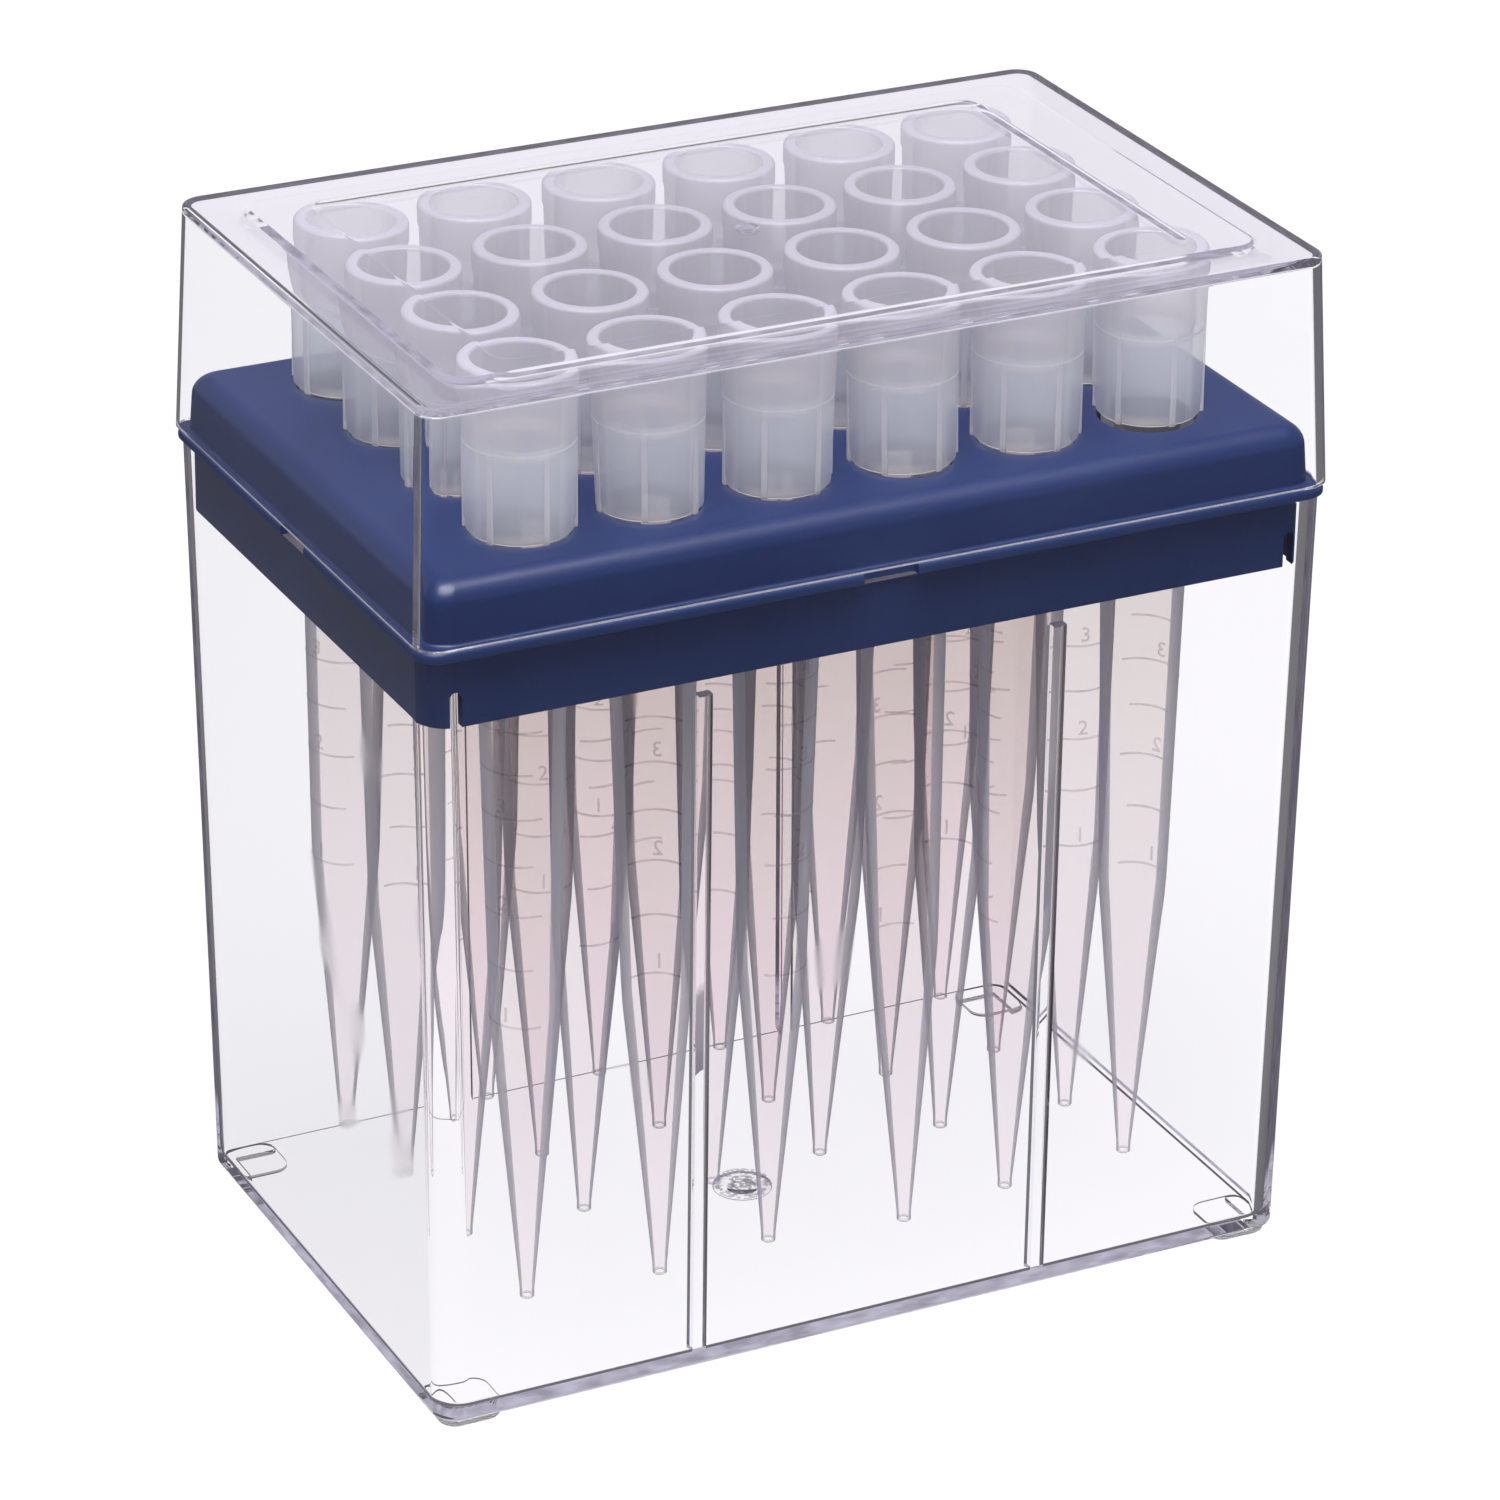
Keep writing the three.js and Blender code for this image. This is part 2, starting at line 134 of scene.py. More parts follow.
class RackSettings(bpy.types.PropertyGroup):
    deck_edge: length("Deck Edge Radius", 3.0, "Radius of the deck's top edge")
    deck_height: length("Deck Height", 8.0, "Height of the deck above the flange")
    deck_draft: length("Deck Draft", 0.3, "How far the deck's sides lean in")
    deck_thickness: length("Deck Thickness", 1.6, "Thickness of the deck")
    wall: length("Wall", 1.4, "Thickness of the deck's sides and the skirt")
    flange: length("Flange", 1.6, "Thickness of the flange")
    flange_width: length("Flange Width", 1.9, "How far the flange stands out from the deck")
    skirt_inset: length("Skirt Inset", 2.45, "How far the skirt lies in from the flange's edge")
    hole: length("Hole Radius", 6.45, "Radius of the holes for the tips")
    hole_flare: length("Hole Flare", 0.3, "How much a hole opens at its top edge")
    pitch: length("Pitch", 18.0, "Distance between two neighbouring tips")
    notch_length: length("Notch Length", 7.8, "Length of the finger notches in the flange")
    notch_depth: length("Notch Depth", 1.5, "Depth of the finger notches")
    slot_width: length("Slot Width", 1.7, "Width of the slots in the skirt")
    slot_height: length("Slot Height", 4.9, "Height of the slots in the skirt")
    slot_inset: length("Slot Inset", 2.7, "Distance of a slot's middle from the skirt's end")
    navy: colour("Navy", (0.008, 0.0212, 0.089), "Colour of the rack's plastic")


class LidSettings(bpy.types.PropertyGroup):
    wall: length("Wall", 1.2, "Thickness of the sides")
    roof: length("Roof", 1.4, "Thickness of the roof")
    draft: length("Draft", 1.4, "How far each side leans in over its height")
    edge: length("Edge Radius", 0.5, "Radius of the roof's outer edge")
    band: length("Band Height", 0.6, "Height of the raised band on the roof")
    band_slope: length("Band Slope", 1.2, "Width of each slope of the band")
    band_inset: length("Band Inset", 6.8, "Distance of the band's crest from the roof's edge")
    band_end: length("Band End Width", 7.5, "Width of the band's crest at the two ends")
    band_side: length("Band Side Width", 3.4, "Width of the band's crest along the two sides")
    band_corner: length("Band Corner Radius", 3.0, "Radius of the band's corners")
    gate: length("Gate Mark", 3.2, "Diameter of the round moulding mark on the roof")


class ClearSettings(bpy.types.PropertyGroup):
    tint: colour(
        "Tint", (0.99, 0.987, 0.997), "Colour of light at the surface of the clear plastic"
    )
    index: number("Index", 1.59, "Index of refraction of the clear plastic")
    haze: number("Haze", 0.08, "Roughness of the few hazy places on the clear plastic's surface")
    wall_mirror: number(
        "Wall Mirror", 0.08, "How strongly upright walls mirror, beside what their index says"
    )
    slant_mirror: number(
        "Slant Mirror", 0.5, "How strongly a wall mirrors where the view slants over it"
    )
    # Painted glow: colours of an emission that stands in for light trapped in the corners and along
    # the edges.
    corner_light: colour(
        "Corner Light", (0.13, 0.12, 0.155), "Light trapped in the upright corners"
    )
    edge_light: colour(
        "Edge Light", (0.44, 0.42, 0.52), "Light trapped along the edges of the floor and the roof"
    )
    # The roof's tint is painted shade: it makes what is seen through the lid's roof greyer and more
    # lilac than what is seen through its walls.
    roof_tint: colour(
        "Roof Tint", (0.962, 0.95, 0.987), "Colour of light at the surfaces of the lid's roof"
    )


class TipSettings(bpy.types.PropertyGroup):
    shank: length("Shank Length", 111.9, "Open end to the foot of the collar")
    shank_top: length("Shank Top Radius", 6.2, "Outer radius where the shank meets the collar")
    knee: length("Knee Radius", 4.6, "Outer radius where the steep cone meets the slim one")
    knee_height: length("Knee Height", 41.8, "Height of that place above the open end")
    nozzle: length("Nozzle Radius", 0.975, "Outer radius at the open end")
    nozzle_length: length("Nozzle Length", 1.3, "Length of the straight open end")
    orifice: length("Orifice Radius", 0.55, "Inner radius at the open end")
    wall: length("Wall", 0.55, "Thickness of the shank's wall")
    collar: length("Collar Height", 21.4, "Height of the collar")
    collar_foot: length("Collar Foot Radius", 6.9, "Outer radius at the foot of the collar")
    rim: length("Rim Radius", 7.6, "Outer radius at the rim")
    band: length("Rim Band", 3.2, "Height of the plain band below the rim")
    fins: bpy.props.IntProperty(
        name="Fins", description="Number of fins round the collar", default=6, min=1
    )
    fin_width: length("Fin Width", 0.8, "Width of a fin")
    fin_reach: length("Fin Reach", 0.38, "How far a fin stands out from the collar's foot")
    first_mark: number("First Graduation", 1.0, "Volume of the lowest graduation, in millilitres")
    last_mark: number("Last Graduation", 5.0, "Volume of the highest graduation, in millilitres")
    cone_volume: number("Cone Volume", 0.95, "Volume of the steep cone, in millilitres")
    graded_wall: length("Graded Wall", 0.4, "Thickness of the wall that the graduations count with")
    mark_width: length("Graduation Width", 0.3, "Width of a graduation line")
    whole_sweep: degrees(
        "Whole Sweep", 118.0, "How far round the tip a whole millilitre's line goes"
    )
    half_sweep: degrees("Half Sweep", 92.0, "How far round the tip a half millilitre's line goes")
    numeral: length("Numeral Height", 2.2, "Height of the graduation numerals")
    ledge: length("Ledge", 12.1, "Height of the ledge inside the collar, above the collar's foot")
    clear: colour(
        "Clear Tint", (0.926, 0.907, 0.897), "Colour of what is seen through the top of a shank"
    )
    clear_low: colour(
        "Low Clear Tint", (0.985, 0.968, 0.975), "Colour of what is seen through a tip's end"
    )
    milk: colour("Milk", (0.9, 0.945, 1.0), "Colour of the milky plastic below the ledge")
    milk_top: colour(
        "Upper Milk", (0.82, 0.81, 0.86), "Colour of the milky plastic above the ledge"
    )
    shadow: colour(
        "Shadow", (0.8, 0.79, 0.81), "Colour of the light that one surface of a tip lets through"
    )
    cover: number("Milkiness", 0.67, "How much one layer of the collar hides")
    # The outlines' grey colour and cover are painted shade, standing in for the dark edges that
    # refraction gives the shank's walls.
    edge: colour("Edge", (0.53, 0.53, 0.57), "Colour of the shank's two outlines")
    outline: number("Outline", 0.92, "How much of what is behind an outline hides")


class StudioSettings(bpy.types.PropertyGroup):
    azimuth: degrees("Azimuth", -26.23, "Camera's direction round the object")
    elevation: degrees("Elevation", 25.16, "Camera's height above the horizon, as an angle")
    roll: degrees("Roll", 0.467, "Camera's turn about its own axis")
    distance: length("Distance", 853.6, "Camera to the point it aims at")
    lens: number("Lens", 151.487, "Focal length in millimetres on a 36 mm sensor")
    key: number("Key Light", 17.0, "Power of the large light overhead, in watts")
    ambient: number("Ambient", 0.32, "Brightness of the room round the object")
    overhead: number("Overhead", 0.42, "Brightness of the room overhead in reflections")


GROUPS = {
    "tip_box_studio": StudioSettings,
    "tip_box_clear": ClearSettings,
    "tip_box_tub": TubSettings,
    "tip_box_rack": RackSettings,
    "tip_box_lid": LidSettings,
    "tip_box_tips": TipSettings,
}


# ---------------------------------------------------------------- meshes


def rounded_ring(half_x, half_y, radius, z, steps=9):
    """Points of a rounded rectangle at one height, anticlockwise."""
    points = []
    for quarter, (side_x, side_y) in enumerate(((1, 1), (-1, 1), (-1, -1), (1, -1))):
        for step in range(steps + 1):
            angle = (quarter + step / steps) * math.pi / 2
            x = side_x * (half_x - radius) + radius * math.cos(angle)
            y = side_y * (half_y - radius) + radius * math.sin(angle)
            points.append((x, y, z))
    return points


def arc(radius, start, end, steps):
    """Points of an arc as (across, up), between two angles in degrees."""
    angles = np.radians(np.linspace(start, end, steps + 1))
    return [(radius * math.cos(a), radius * math.sin(a)) for a in angles]


def skinned(name, rings):
    """A closed mesh object through rings of equal length, capped at both ends."""
    mesh = bmesh.new()
    rows = [[mesh.verts.new(point) for point in ring] for ring in rings]
    count = len(rows[0])
    for low, high in zip(rows, rows[1:]):
        for i in range(count):
            j = (i + 1) % count
            mesh.faces.new((low[i], low[j], high[j], high[i]))
    mesh.faces.new(rows[0][::-1])
    mesh.faces.new(rows[-1])
    bmesh.ops.recalc_face_normals(mesh, faces=mesh.faces)
    return as_object(name, mesh)


def as_object(name, mesh):
    data = bpy.data.meshes.new(name)
    mesh.to_mesh(data)
    mesh.free()
    made = bpy.data.objects.new(name, data)
    bpy.context.scene.collection.objects.link(made)
    return made


def turned(name, profile, segments):
    """A closed mesh object from a closed profile of (radius, height) turned about Z."""
    mesh = bmesh.new()
    columns = []
    for i in range(segments):
        angle = 2 * math.pi * i / segments
        x, y = math.cos(angle), math.sin(angle)
        columns.append([mesh.verts.new((r * x, r * y, z)) for r, z in profile])
    for i, column in enumerate(columns):
        other = columns[(i + 1) % segments]
        for a in range(len(profile)):
            b = (a + 1) % len(profile)
            mesh.faces.new((column[a], other[a], other[b], column[b]))
    bmesh.ops.recalc_face_normals(mesh, faces=mesh.faces)
    return as_object(name, mesh)


def rounded(mesh, edges, radius):
    bmesh.ops.bevel(mesh, geom=edges, offset=radius, segments=3, profile=0.5, affect="EDGES")


def block(name, low, high, bevel=0.0):
    """A box between two corners, with its edges rounded."""
    mesh = bmesh.new()
    bmesh.ops.create_cube(mesh, size=1)
    for vertex in mesh.verts:
        vertex.co = [l + (h - l) * (c + 0.5) for l, h, c in zip(low, high, vertex.co)]
    if bevel:
        rounded(mesh, list(mesh.edges), bevel)
    return as_object(name, mesh)


def evaluated(piece):
    """Replaces an object's mesh by its evaluated one and clears its modifiers."""
    graph = bpy.context.evaluated_depsgraph_get()
    graph.update()
    mesh = bpy.data.meshes.new_from_object(piece.evaluated_get(graph), depsgraph=graph)
    piece.modifiers.clear()
    piece.data = mesh
    return piece


def combined(piece, other, operation):
    """Joins other to piece, or cuts it away, by an exact Boolean, and removes other."""
    step = piece.modifiers.new("combine", "BOOLEAN")
    step.solver = "EXACT"
    step.operation = operation
    step.use_self = operation == "UNION"
    step.object = other
    evaluated(piece)
    bpy.data.objects.remove(other)
    return piece


def smoothed(piece):
    """Shades rounded edges smooth and keeps flat faces flat and creases sharp."""
    piece.data.shade_smooth()
    mesh = bmesh.new()
    mesh.from_mesh(piece.data)
    bmesh.ops.remove_doubles(mesh, verts=mesh.verts, dist=1e-7)
    for edge in mesh.edges:
        edge.smooth = len(edge.link_faces) == 2 and edge.calc_face_angle(0) < CREASE
    mesh.to_mesh(piece.data)
    mesh.free()
    step = piece.modifiers.new("even_normals", "WEIGHTED_NORMAL")
    step.keep_sharp = True
    step.weight = 60
    return evaluated(piece)


def finished(piece, body, slot, material, *nodes):
    """Gives a piece its material and body, and lets it stand for its CAD nodes. Its slot is not
    used.
    """
    piece.data.materials.clear()
    piece.data.materials.append(material)
    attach(piece, body)
    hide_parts(*nodes)
    return piece


# ---------------------------------------------------------------- node trees


class Nodes:
    """A small builder of node trees, whose inputs are set or linked by their names."""

    def node(self, kind, settings=None, **values):
        made = self.tree.nodes.new(kind)
        for key, value in (settings or {}).items():
            setattr(made, key, value)
        for label, value in values.items():
            self.feed(made.inputs[label.replace("_", " ")], value)
        return made

    def feed(self, socket, value):
        if isinstance(value, bpy.types.NodeSocket):
            self.tree.links.new(value, socket)
        elif getattr(socket, "type", "") == "RGBA" and len(value) == 3:
            socket.default_value = (*value, 1)
        else:
            socket.default_value = value

    def math(self, operation, *values, clamp=False):
        made = self.tree.nodes.new("ShaderNodeMath")
        made.operation, made.use_clamp = operation, clamp
        for socket, value in zip(made.inputs, values):
            self.feed(socket, value)
        return made.outputs[0]

    def plus(self, first, *others, clamp=False):
        for other in others:
            first = self.math("ADD", first, other, clamp=clamp)
        return first

    def times(self, first, *others):
        for other in others:
            first = self.math("MULTIPLY", first, other)
        return first

    def rest(self, share):
        """What a share leaves of 1."""
        return self.math("SUBTRACT", 1.0, share)

    def most(self, one, two):
        return self.math("MAXIMUM", one, two)

    def parts(self, vector):
        """The X, Y and Z of a vector."""
        return self.node("ShaderNodeSeparateXYZ", Vector=vector).outputs


class Tree(Nodes):
    """A Geometry Nodes tree with named inputs, of which the last is its material."""

    def __init__(self, name, **inputs):
        self.tree = bpy.data.node_groups.new(name, "GeometryNodeTree")
        self.sockets = {}
        face = self.tree.interface
        face.new_socket("Geometry", in_out="INPUT", socket_type="NodeSocketGeometry")
        for label, kind in {**inputs, "material": "Material"}.items():
            made = face.new_socket(
                label.replace("_", " ").title(), in_out="INPUT", socket_type="NodeSocket" + kind
            )
            self.sockets[label] = made.identifier
        face.new_socket("Geometry", in_out="OUTPUT", socket_type="NodeSocketGeometry")
        self.start = self.tree.nodes.new("NodeGroupInput")
        self.end = self.tree.nodes.new("NodeGroupOutput")

    def given(self, label):
        return self.start.outputs[label.replace("_", " ").title()]

    def place(self, x, y, z):
        return self.node("ShaderNodeCombineXYZ", X=x, Y=y, Z=z).outputs[0]

    def where(self):
        """The X, Y and Z of each point."""
        return self.parts(self.node("GeometryNodeInputPosition").outputs[0])

    def attribute(self, name, kind="FLOAT"):
        named = self.node("GeometryNodeInputNamedAttribute", {"data_type": kind}, Name=name)
        return named.outputs[0]

    def stored(self, geometry, name, value):
        """The geometry, with a value under a name at each point."""
        settings = {"data_type": "FLOAT", "domain": "POINT"}
        made = self.node("GeometryNodeStoreNamedAttribute", settings, Geometry=geometry, Name=name)
        self.feed(made.inputs["Value"], value)
        return made.outputs[0]

    def grid(self, size_x, size_y, columns, rows):
        counts = {"Vertices_X": columns, "Vertices_Y": rows}
        made = self.node("GeometryNodeMeshGrid", Size_X=size_x, Size_Y=size_y, **counts)
        return made.outputs[0]

    def copied(self, points, **turn):
        """Ends the tree in copies of the given piece on points."""
        source = self.node("GeometryNodeObjectInfo", Object=self.given("piece")).outputs["Geometry"]
        copies = self.node("GeometryNodeInstanceOnPoints", Points=points, Instance=source, **turn)
        return self.close(copies.outputs[0])

    def close(self, geometry):
        """Ends the tree in Realize Instances and Set Material."""
        real = self.node("GeometryNodeRealizeInstances", Geometry=geometry).outputs[0]
        material = self.given("material")
        made = self.node("GeometryNodeSetMaterial", Geometry=real, Material=material)
        self.tree.links.new(made.outputs[0], self.end.inputs[0])
        return self

    def grown(self, name, base, **values):
        """A plain mesh object of the tree's result on base, with the inputs set by identifier."""
        made = bpy.data.objects.new(name, base)
        bpy.context.scene.collection.objects.link(made)
        step = made.modifiers.new(name, "NODES")
        step.node_group = self.tree
        for label, value in values.items():
            step[self.sockets[label]] = value
        return evaluated(made)


def corner_tree(name, quarter_turns):
    """Copies a piece to the four corners of a rectangle, turned to face its middle."""
    tree = Tree(name, half_length="Float", half_width="Float", piece="Object")
    sizes = [tree.times(tree.given(label), 2.0) for label in ("half_length", "half_width")]
    x, y, _ = tree.where()
    if quarter_turns:
        quarters = tree.math("DIVIDE", tree.math("ARCTAN2", y, x), math.pi / 2)
        turn = tree.times(tree.math("FLOOR", quarters), math.pi / 2)
    else:
        turn = tree.times(tree.math("LESS_THAN", y, 0.0), math.pi)
    return tree.copied(tree.grid(*sizes, 2, 2), Rotation=tree.place(0.0, 0.0, turn))


def middle_tree(name):
    """Copies a piece to the middles of the four sides of a rectangle, turned outwards."""
    tree = Tree(name, half_length="Float", half_width="Float", piece="Object")
    ring = tree.node("GeometryNodeMeshCircle", Vertices=4, Radius=1.0).outputs[0]
    x, y, _ = tree.where()
    ring = tree.stored(ring, "turn", tree.math("ARCTAN2", y, x))
    half_length, half_width = tree.given("half_length"), tree.given("half_width")
    spread = tree.place(tree.times(x, half_length), tree.times(y, half_width), 0.0)
    placed = tree.node("GeometryNodeSetPosition", Geometry=ring, Position=spread)
    turn = tree.place(0.0, 0.0, tree.attribute("turn"))
    return tree.copied(placed.outputs[0], Rotation=turn)


def grid_tree(name):
    """Copies a piece over a grid of columns and rows."""
    tree = Tree(name, columns="Int", rows="Int", pitch="Float", piece="Object")
    counts = tree.given("columns"), tree.given("rows")
    sizes = [tree.times(tree.math("SUBTRACT", c, 1.0), tree.given("pitch")) for c in counts]
    return tree.copied(tree.grid(*sizes, *counts))


def ring_tree(name):
    """Copies a piece round the Z axis."""
    tree = Tree(name, count="Int", piece="Object")
    points = tree.node("GeometryNodePoints", Count=tree.given("count"))
    step = tree.math("DIVIDE", 2 * math.pi, tree.given("count"))
    turn = tree.times(tree.node("GeometryNodeInputIndex").outputs[0], step)
    return tree.copied(points.outputs[0], Rotation=tree.place(0.0, 0.0, turn))


def hanging_tree(name):
    """Copies a piece to points that carry a turn, and gives each copy a tone of its own."""
    tree = Tree(name, piece="Object", seed="Int")
    tone = tree.node("FunctionNodeRandomValue", {"data_type": "FLOAT"}, Seed=tree.given("seed"))
    points = tree.stored(tree.start.outputs[0], "tone", tone.outputs[1])
    return tree.copied(points, Rotation=tree.attribute("turn", "FLOAT_VECTOR"))


def graduation_tree(name):
    """Bends a line round the tip at each point, from its radius and sweep attributes."""
    tree = Tree(name, width="Float", steps="Int")
    bar = tree.node("GeometryNodeMeshLine", {"mode": "END_POINTS"}, Count=tree.given("steps"))
    tree.feed(bar.inputs["Start Location"], (-0.5, 0.0, 0.0))
    tree.feed(bar.inputs["Offset"], (0.5, 0.0, 0.0))
    ends = {"Points": tree.start.outputs[0], "Instance": bar.outputs[0]}
    copies = tree.node("GeometryNodeInstanceOnPoints", **ends)
    real = tree.node("GeometryNodeRealizeInstances", Geometry=copies.outputs[0])
    x, _, z = tree.where()
    angle, radius = tree.times(x, tree.attribute("sweep")), tree.attribute("radius")
    bent = [tree.times(tree.math(wave, angle), radius) for wave in ("COSINE", "SINE")]
    placed = tree.node(
        "GeometryNodeSetPosition", Geometry=real.outputs[0], Position=tree.place(*bent, z)
    )
    line = tree.node("GeometryNodeMeshToCurve", Mesh=placed.outputs[0])
    half = tree.times(tree.given("width"), 0.5)
    profile = tree.node("GeometryNodeCurvePrimitiveCircle", Resolution=6, Radius=half)
    tube = tree.node("GeometryNodeCurveToMesh", Curve=line.outputs[0], Fill_Caps=True)
    tree.feed(tube.inputs["Profile Curve"], profile.outputs[0])
    return tree.close(tube.outputs[0])


def repeated(piece, tree, body, operation, **values):
    """Copies a piece by a tree, and joins the copies to body or cuts them away."""
    copies = tree.grown(piece.name + "_copies", piece.data, piece=piece, **values)
    bpy.data.objects.remove(piece)
    return combined(body, copies, operation)


# ---------------------------------------------------------------- materials


class Finish(Nodes):
    """A small builder of the node tree of a material, or of a world."""

    def __init__(self, name, world=False):
        self.owner = (bpy.data.worlds if world else bpy.data.materials).new(name)
        self.owner.use_nodes = True
        self.tree = self.owner.node_tree
        self.tree.nodes.clear()
        kind = "ShaderNodeOutputWorld" if world else "ShaderNodeOutputMaterial"
        self.output = self.tree.nodes.new(kind)

    def close(self, surface):
        """Ends the tree in a shader and gives back the material or the world."""
        self.feed(self.output.inputs["Surface"], surface)
        return self.owner

    def shader(self, kind, **values):
        return self.node("ShaderNodeBsdf" + kind, **values).outputs[0]

    def blend(self, factor, one, two):
        """A mix of two shaders."""
        made = self.tree.nodes.new("ShaderNodeMixShader")
        for socket, value in zip(made.inputs, (factor, one, two)):
            self.feed(socket, value)
        return made.outputs[0]

    def tinted(self, factor, one, two):
        """A mix of two colours."""
        made = self.node("ShaderNodeMix", {"data_type": "RGBA"})
        for index, value in ((0, factor), (6, one), (7, two)):
            self.feed(made.inputs[index], value)
        return made.outputs[2]

    def ramp(self, value, low, high, out_low=0.0, out_high=1.0):
        made = self.tree.nodes.new("ShaderNodeMapRange")
        for socket, item in zip(made.inputs, (value, low, high, out_low, out_high)):
            self.feed(socket, item)
        return made.outputs[0]

    def place(self):
        """The piece's own coordinates."""
        return self.node("ShaderNodeTexCoord").outputs["Object"]

    def noise(self, scale, detail=2.0):
        """Noise over the piece's own coordinates."""
        texture = self.node("ShaderNodeTexNoise", Vector=self.place(), Scale=scale, Detail=detail)
        return texture.outputs[0]

    def attribute(self, name):
        return self.node("ShaderNodeAttribute", {"attribute_name": name}).outputs["Fac"]

    def let_light_pass(self, shown, tone):
        """Lets light to and from dull surfaces straight through, in a tone."""
        path = self.node("ShaderNodeLightPath").outputs
        passing = self.shader("Transparent", Color=tone)
        for ray in ("Is Diffuse Ray", "Is Shadow Ray"):
            shown = self.blend(path[ray], shown, passing)
        return shown


# Grey over a moulding mark, as (share of its radius, cover), from its middle to its rim: partly
# frost and partly painted shade of the mark's relief.
MARK_FROST_AND_SHADE = (
    (0.0, 0.38), (0.3, 0.6), (0.45, 0.66), (0.52, 0.055),
    (0.66, 0.11), (0.76, 0.5), (0.93, 0.44), (0.98, 0.0),
)
# Light that was mirrored more often than this ends in a painted glow, which stands in for light
# trapped in the plastic.
TRAPPED_TURNS = 5.5


def clear_plastic(settings, name, flat_tint, gate, flat_mirror, edge_from, edge_to):
    """Clear moulded plastic that refracts, tints slightly and lets lamps in.

    Upright walls mirror little, and more where the view slants over them. Flat faces have a tint of
    their own, a painted shade on the lid's roof, and mirror by flat_mirror times as much as their
    index says. Light mirrored inside more than TRAPPED_TURNS times ends in a painted glow. It is
    brighter beyond the height edge_to, where the flat face's edges let light in, than in the
    upright corners. The moulding mark, gate wide, has a frosted middle and a duller rim; their grey
    is partly frost and partly painted shade of the mark's relief.
    """
    finish = Finish(name)
    haze = finish.ramp(finish.noise(70.0, 0.0), 0.66, 0.8, 0.0, settings.haze)
    bare = finish.node("ShaderNodeFresnel", IOR=settings.index).outputs[0]
    normal = finish.node("ShaderNodeNewGeometry").outputs["Normal"]
    flat = finish.ramp(finish.math("ABSOLUTE", finish.parts(normal)[2]), 0.85, 0.97)
    share = finish.ramp(flat, 0.0, 1.0, settings.wall_mirror, flat_mirror)
    total = finish.ramp(bare, 0.5, 0.9)
    mirror = finish.plus(
        finish.times(bare, share), finish.times(total, finish.rest(share)), clamp=True
    )
    slant = finish.ramp(bare, 0.06, 1.0, 0.0, settings.slant_mirror)
    mirror = finish.most(mirror, finish.times(slant, finish.rest(flat)))
    # Flat faces take flat_tint, which on the lid's roof is a painted shade.
    tint = finish.tinted(flat, settings.tint, flat_tint)
    bent = finish.shader("Refraction", Color=tint, IOR=settings.index, Roughness=haze)
    gloss = finish.shader("Glossy", Color=(1, 1, 1), Roughness=haze)
    surface = finish.blend(mirror, bent, gloss)

    # The moulding mark's rings of dull grey are partly frost and partly painted shade of its
    # relief.
    reach = finish.node("ShaderNodeVectorMath", {"operation": "MULTIPLY"})
    finish.feed(reach.inputs[0], finish.place())
    reach.inputs[1].default_value = (2 / gate, 2 / gate, 0)
    reach = finish.node("ShaderNodeVectorMath", {"operation": "LENGTH"}, Vector=reach.outputs[0])
    frost_and_shade = finish.node("ShaderNodeValToRGB", Fac=reach.outputs["Value"])
    while len(frost_and_shade.color_ramp.elements) < len(MARK_FROST_AND_SHADE):
        frost_and_shade.color_ramp.elements.new(1.0)
    for element, (at, value) in zip(frost_and_shade.color_ramp.elements, MARK_FROST_AND_SHADE):
        element.position, element.color = at, (value, value, value, 1)
    speckle = finish.ramp(finish.noise(12 / gate, 0.0), 0.46, 0.56, 1.0, 0.09)
    dull = finish.shader("Diffuse", Color=(0.3, 0.29, 0.34))
    surface = finish.blend(frost_and_shade.outputs[0], surface, finish.blend(speckle, surface, dull))

    # Painted glow: a path mirrored inside past TRAPPED_TURNS ends in a mottled emission, brighter
    # beyond edge_to, though the plastic is no lamp.
    beyond = finish.ramp(finish.parts(finish.place())[2], edge_from, edge_to)
    painted_glow_colour = finish.tinted(beyond, settings.corner_light, settings.edge_light)
    mottle = finish.ramp(finish.noise(260.0, 2.0), 0.35, 0.65, 0.75, 1.2)
    trapped = finish.node("ShaderNodeEmission", Color=painted_glow_colour, Strength=mottle).outputs[0]
    path = finish.node("ShaderNodeLightPath").outputs
    turns = finish.math("GREATER_THAN", path["Glossy Depth"], TRAPPED_TURNS)
    inside = finish.blend(turns, surface, trapped)
    finish.owner.cycles.emission_sampling = "NONE"
    return finish.close(finish.let_light_pass(inside, (0.95, 0.945, 0.96)))


def navy_plastic(settings):
    """Satin navy plastic, slightly cloudy in tone and gloss."""
    finish = Finish("navy_plastic")
    cloud = finish.noise(40.0, 2.0)
    pale = tuple(min(1.0, c * 1.12 + 0.003) for c in settings.navy)
    tone = finish.tinted(finish.ramp(cloud, 0.35, 0.65), settings.navy, pale)
    roughness = finish.ramp(cloud, 0.3, 0.7, 0.38, 0.46)
    return finish.close(
        finish.shader("Principled", Base_Color=tone, Roughness=roughness, Specular_IOR_Level=0.42)
    )


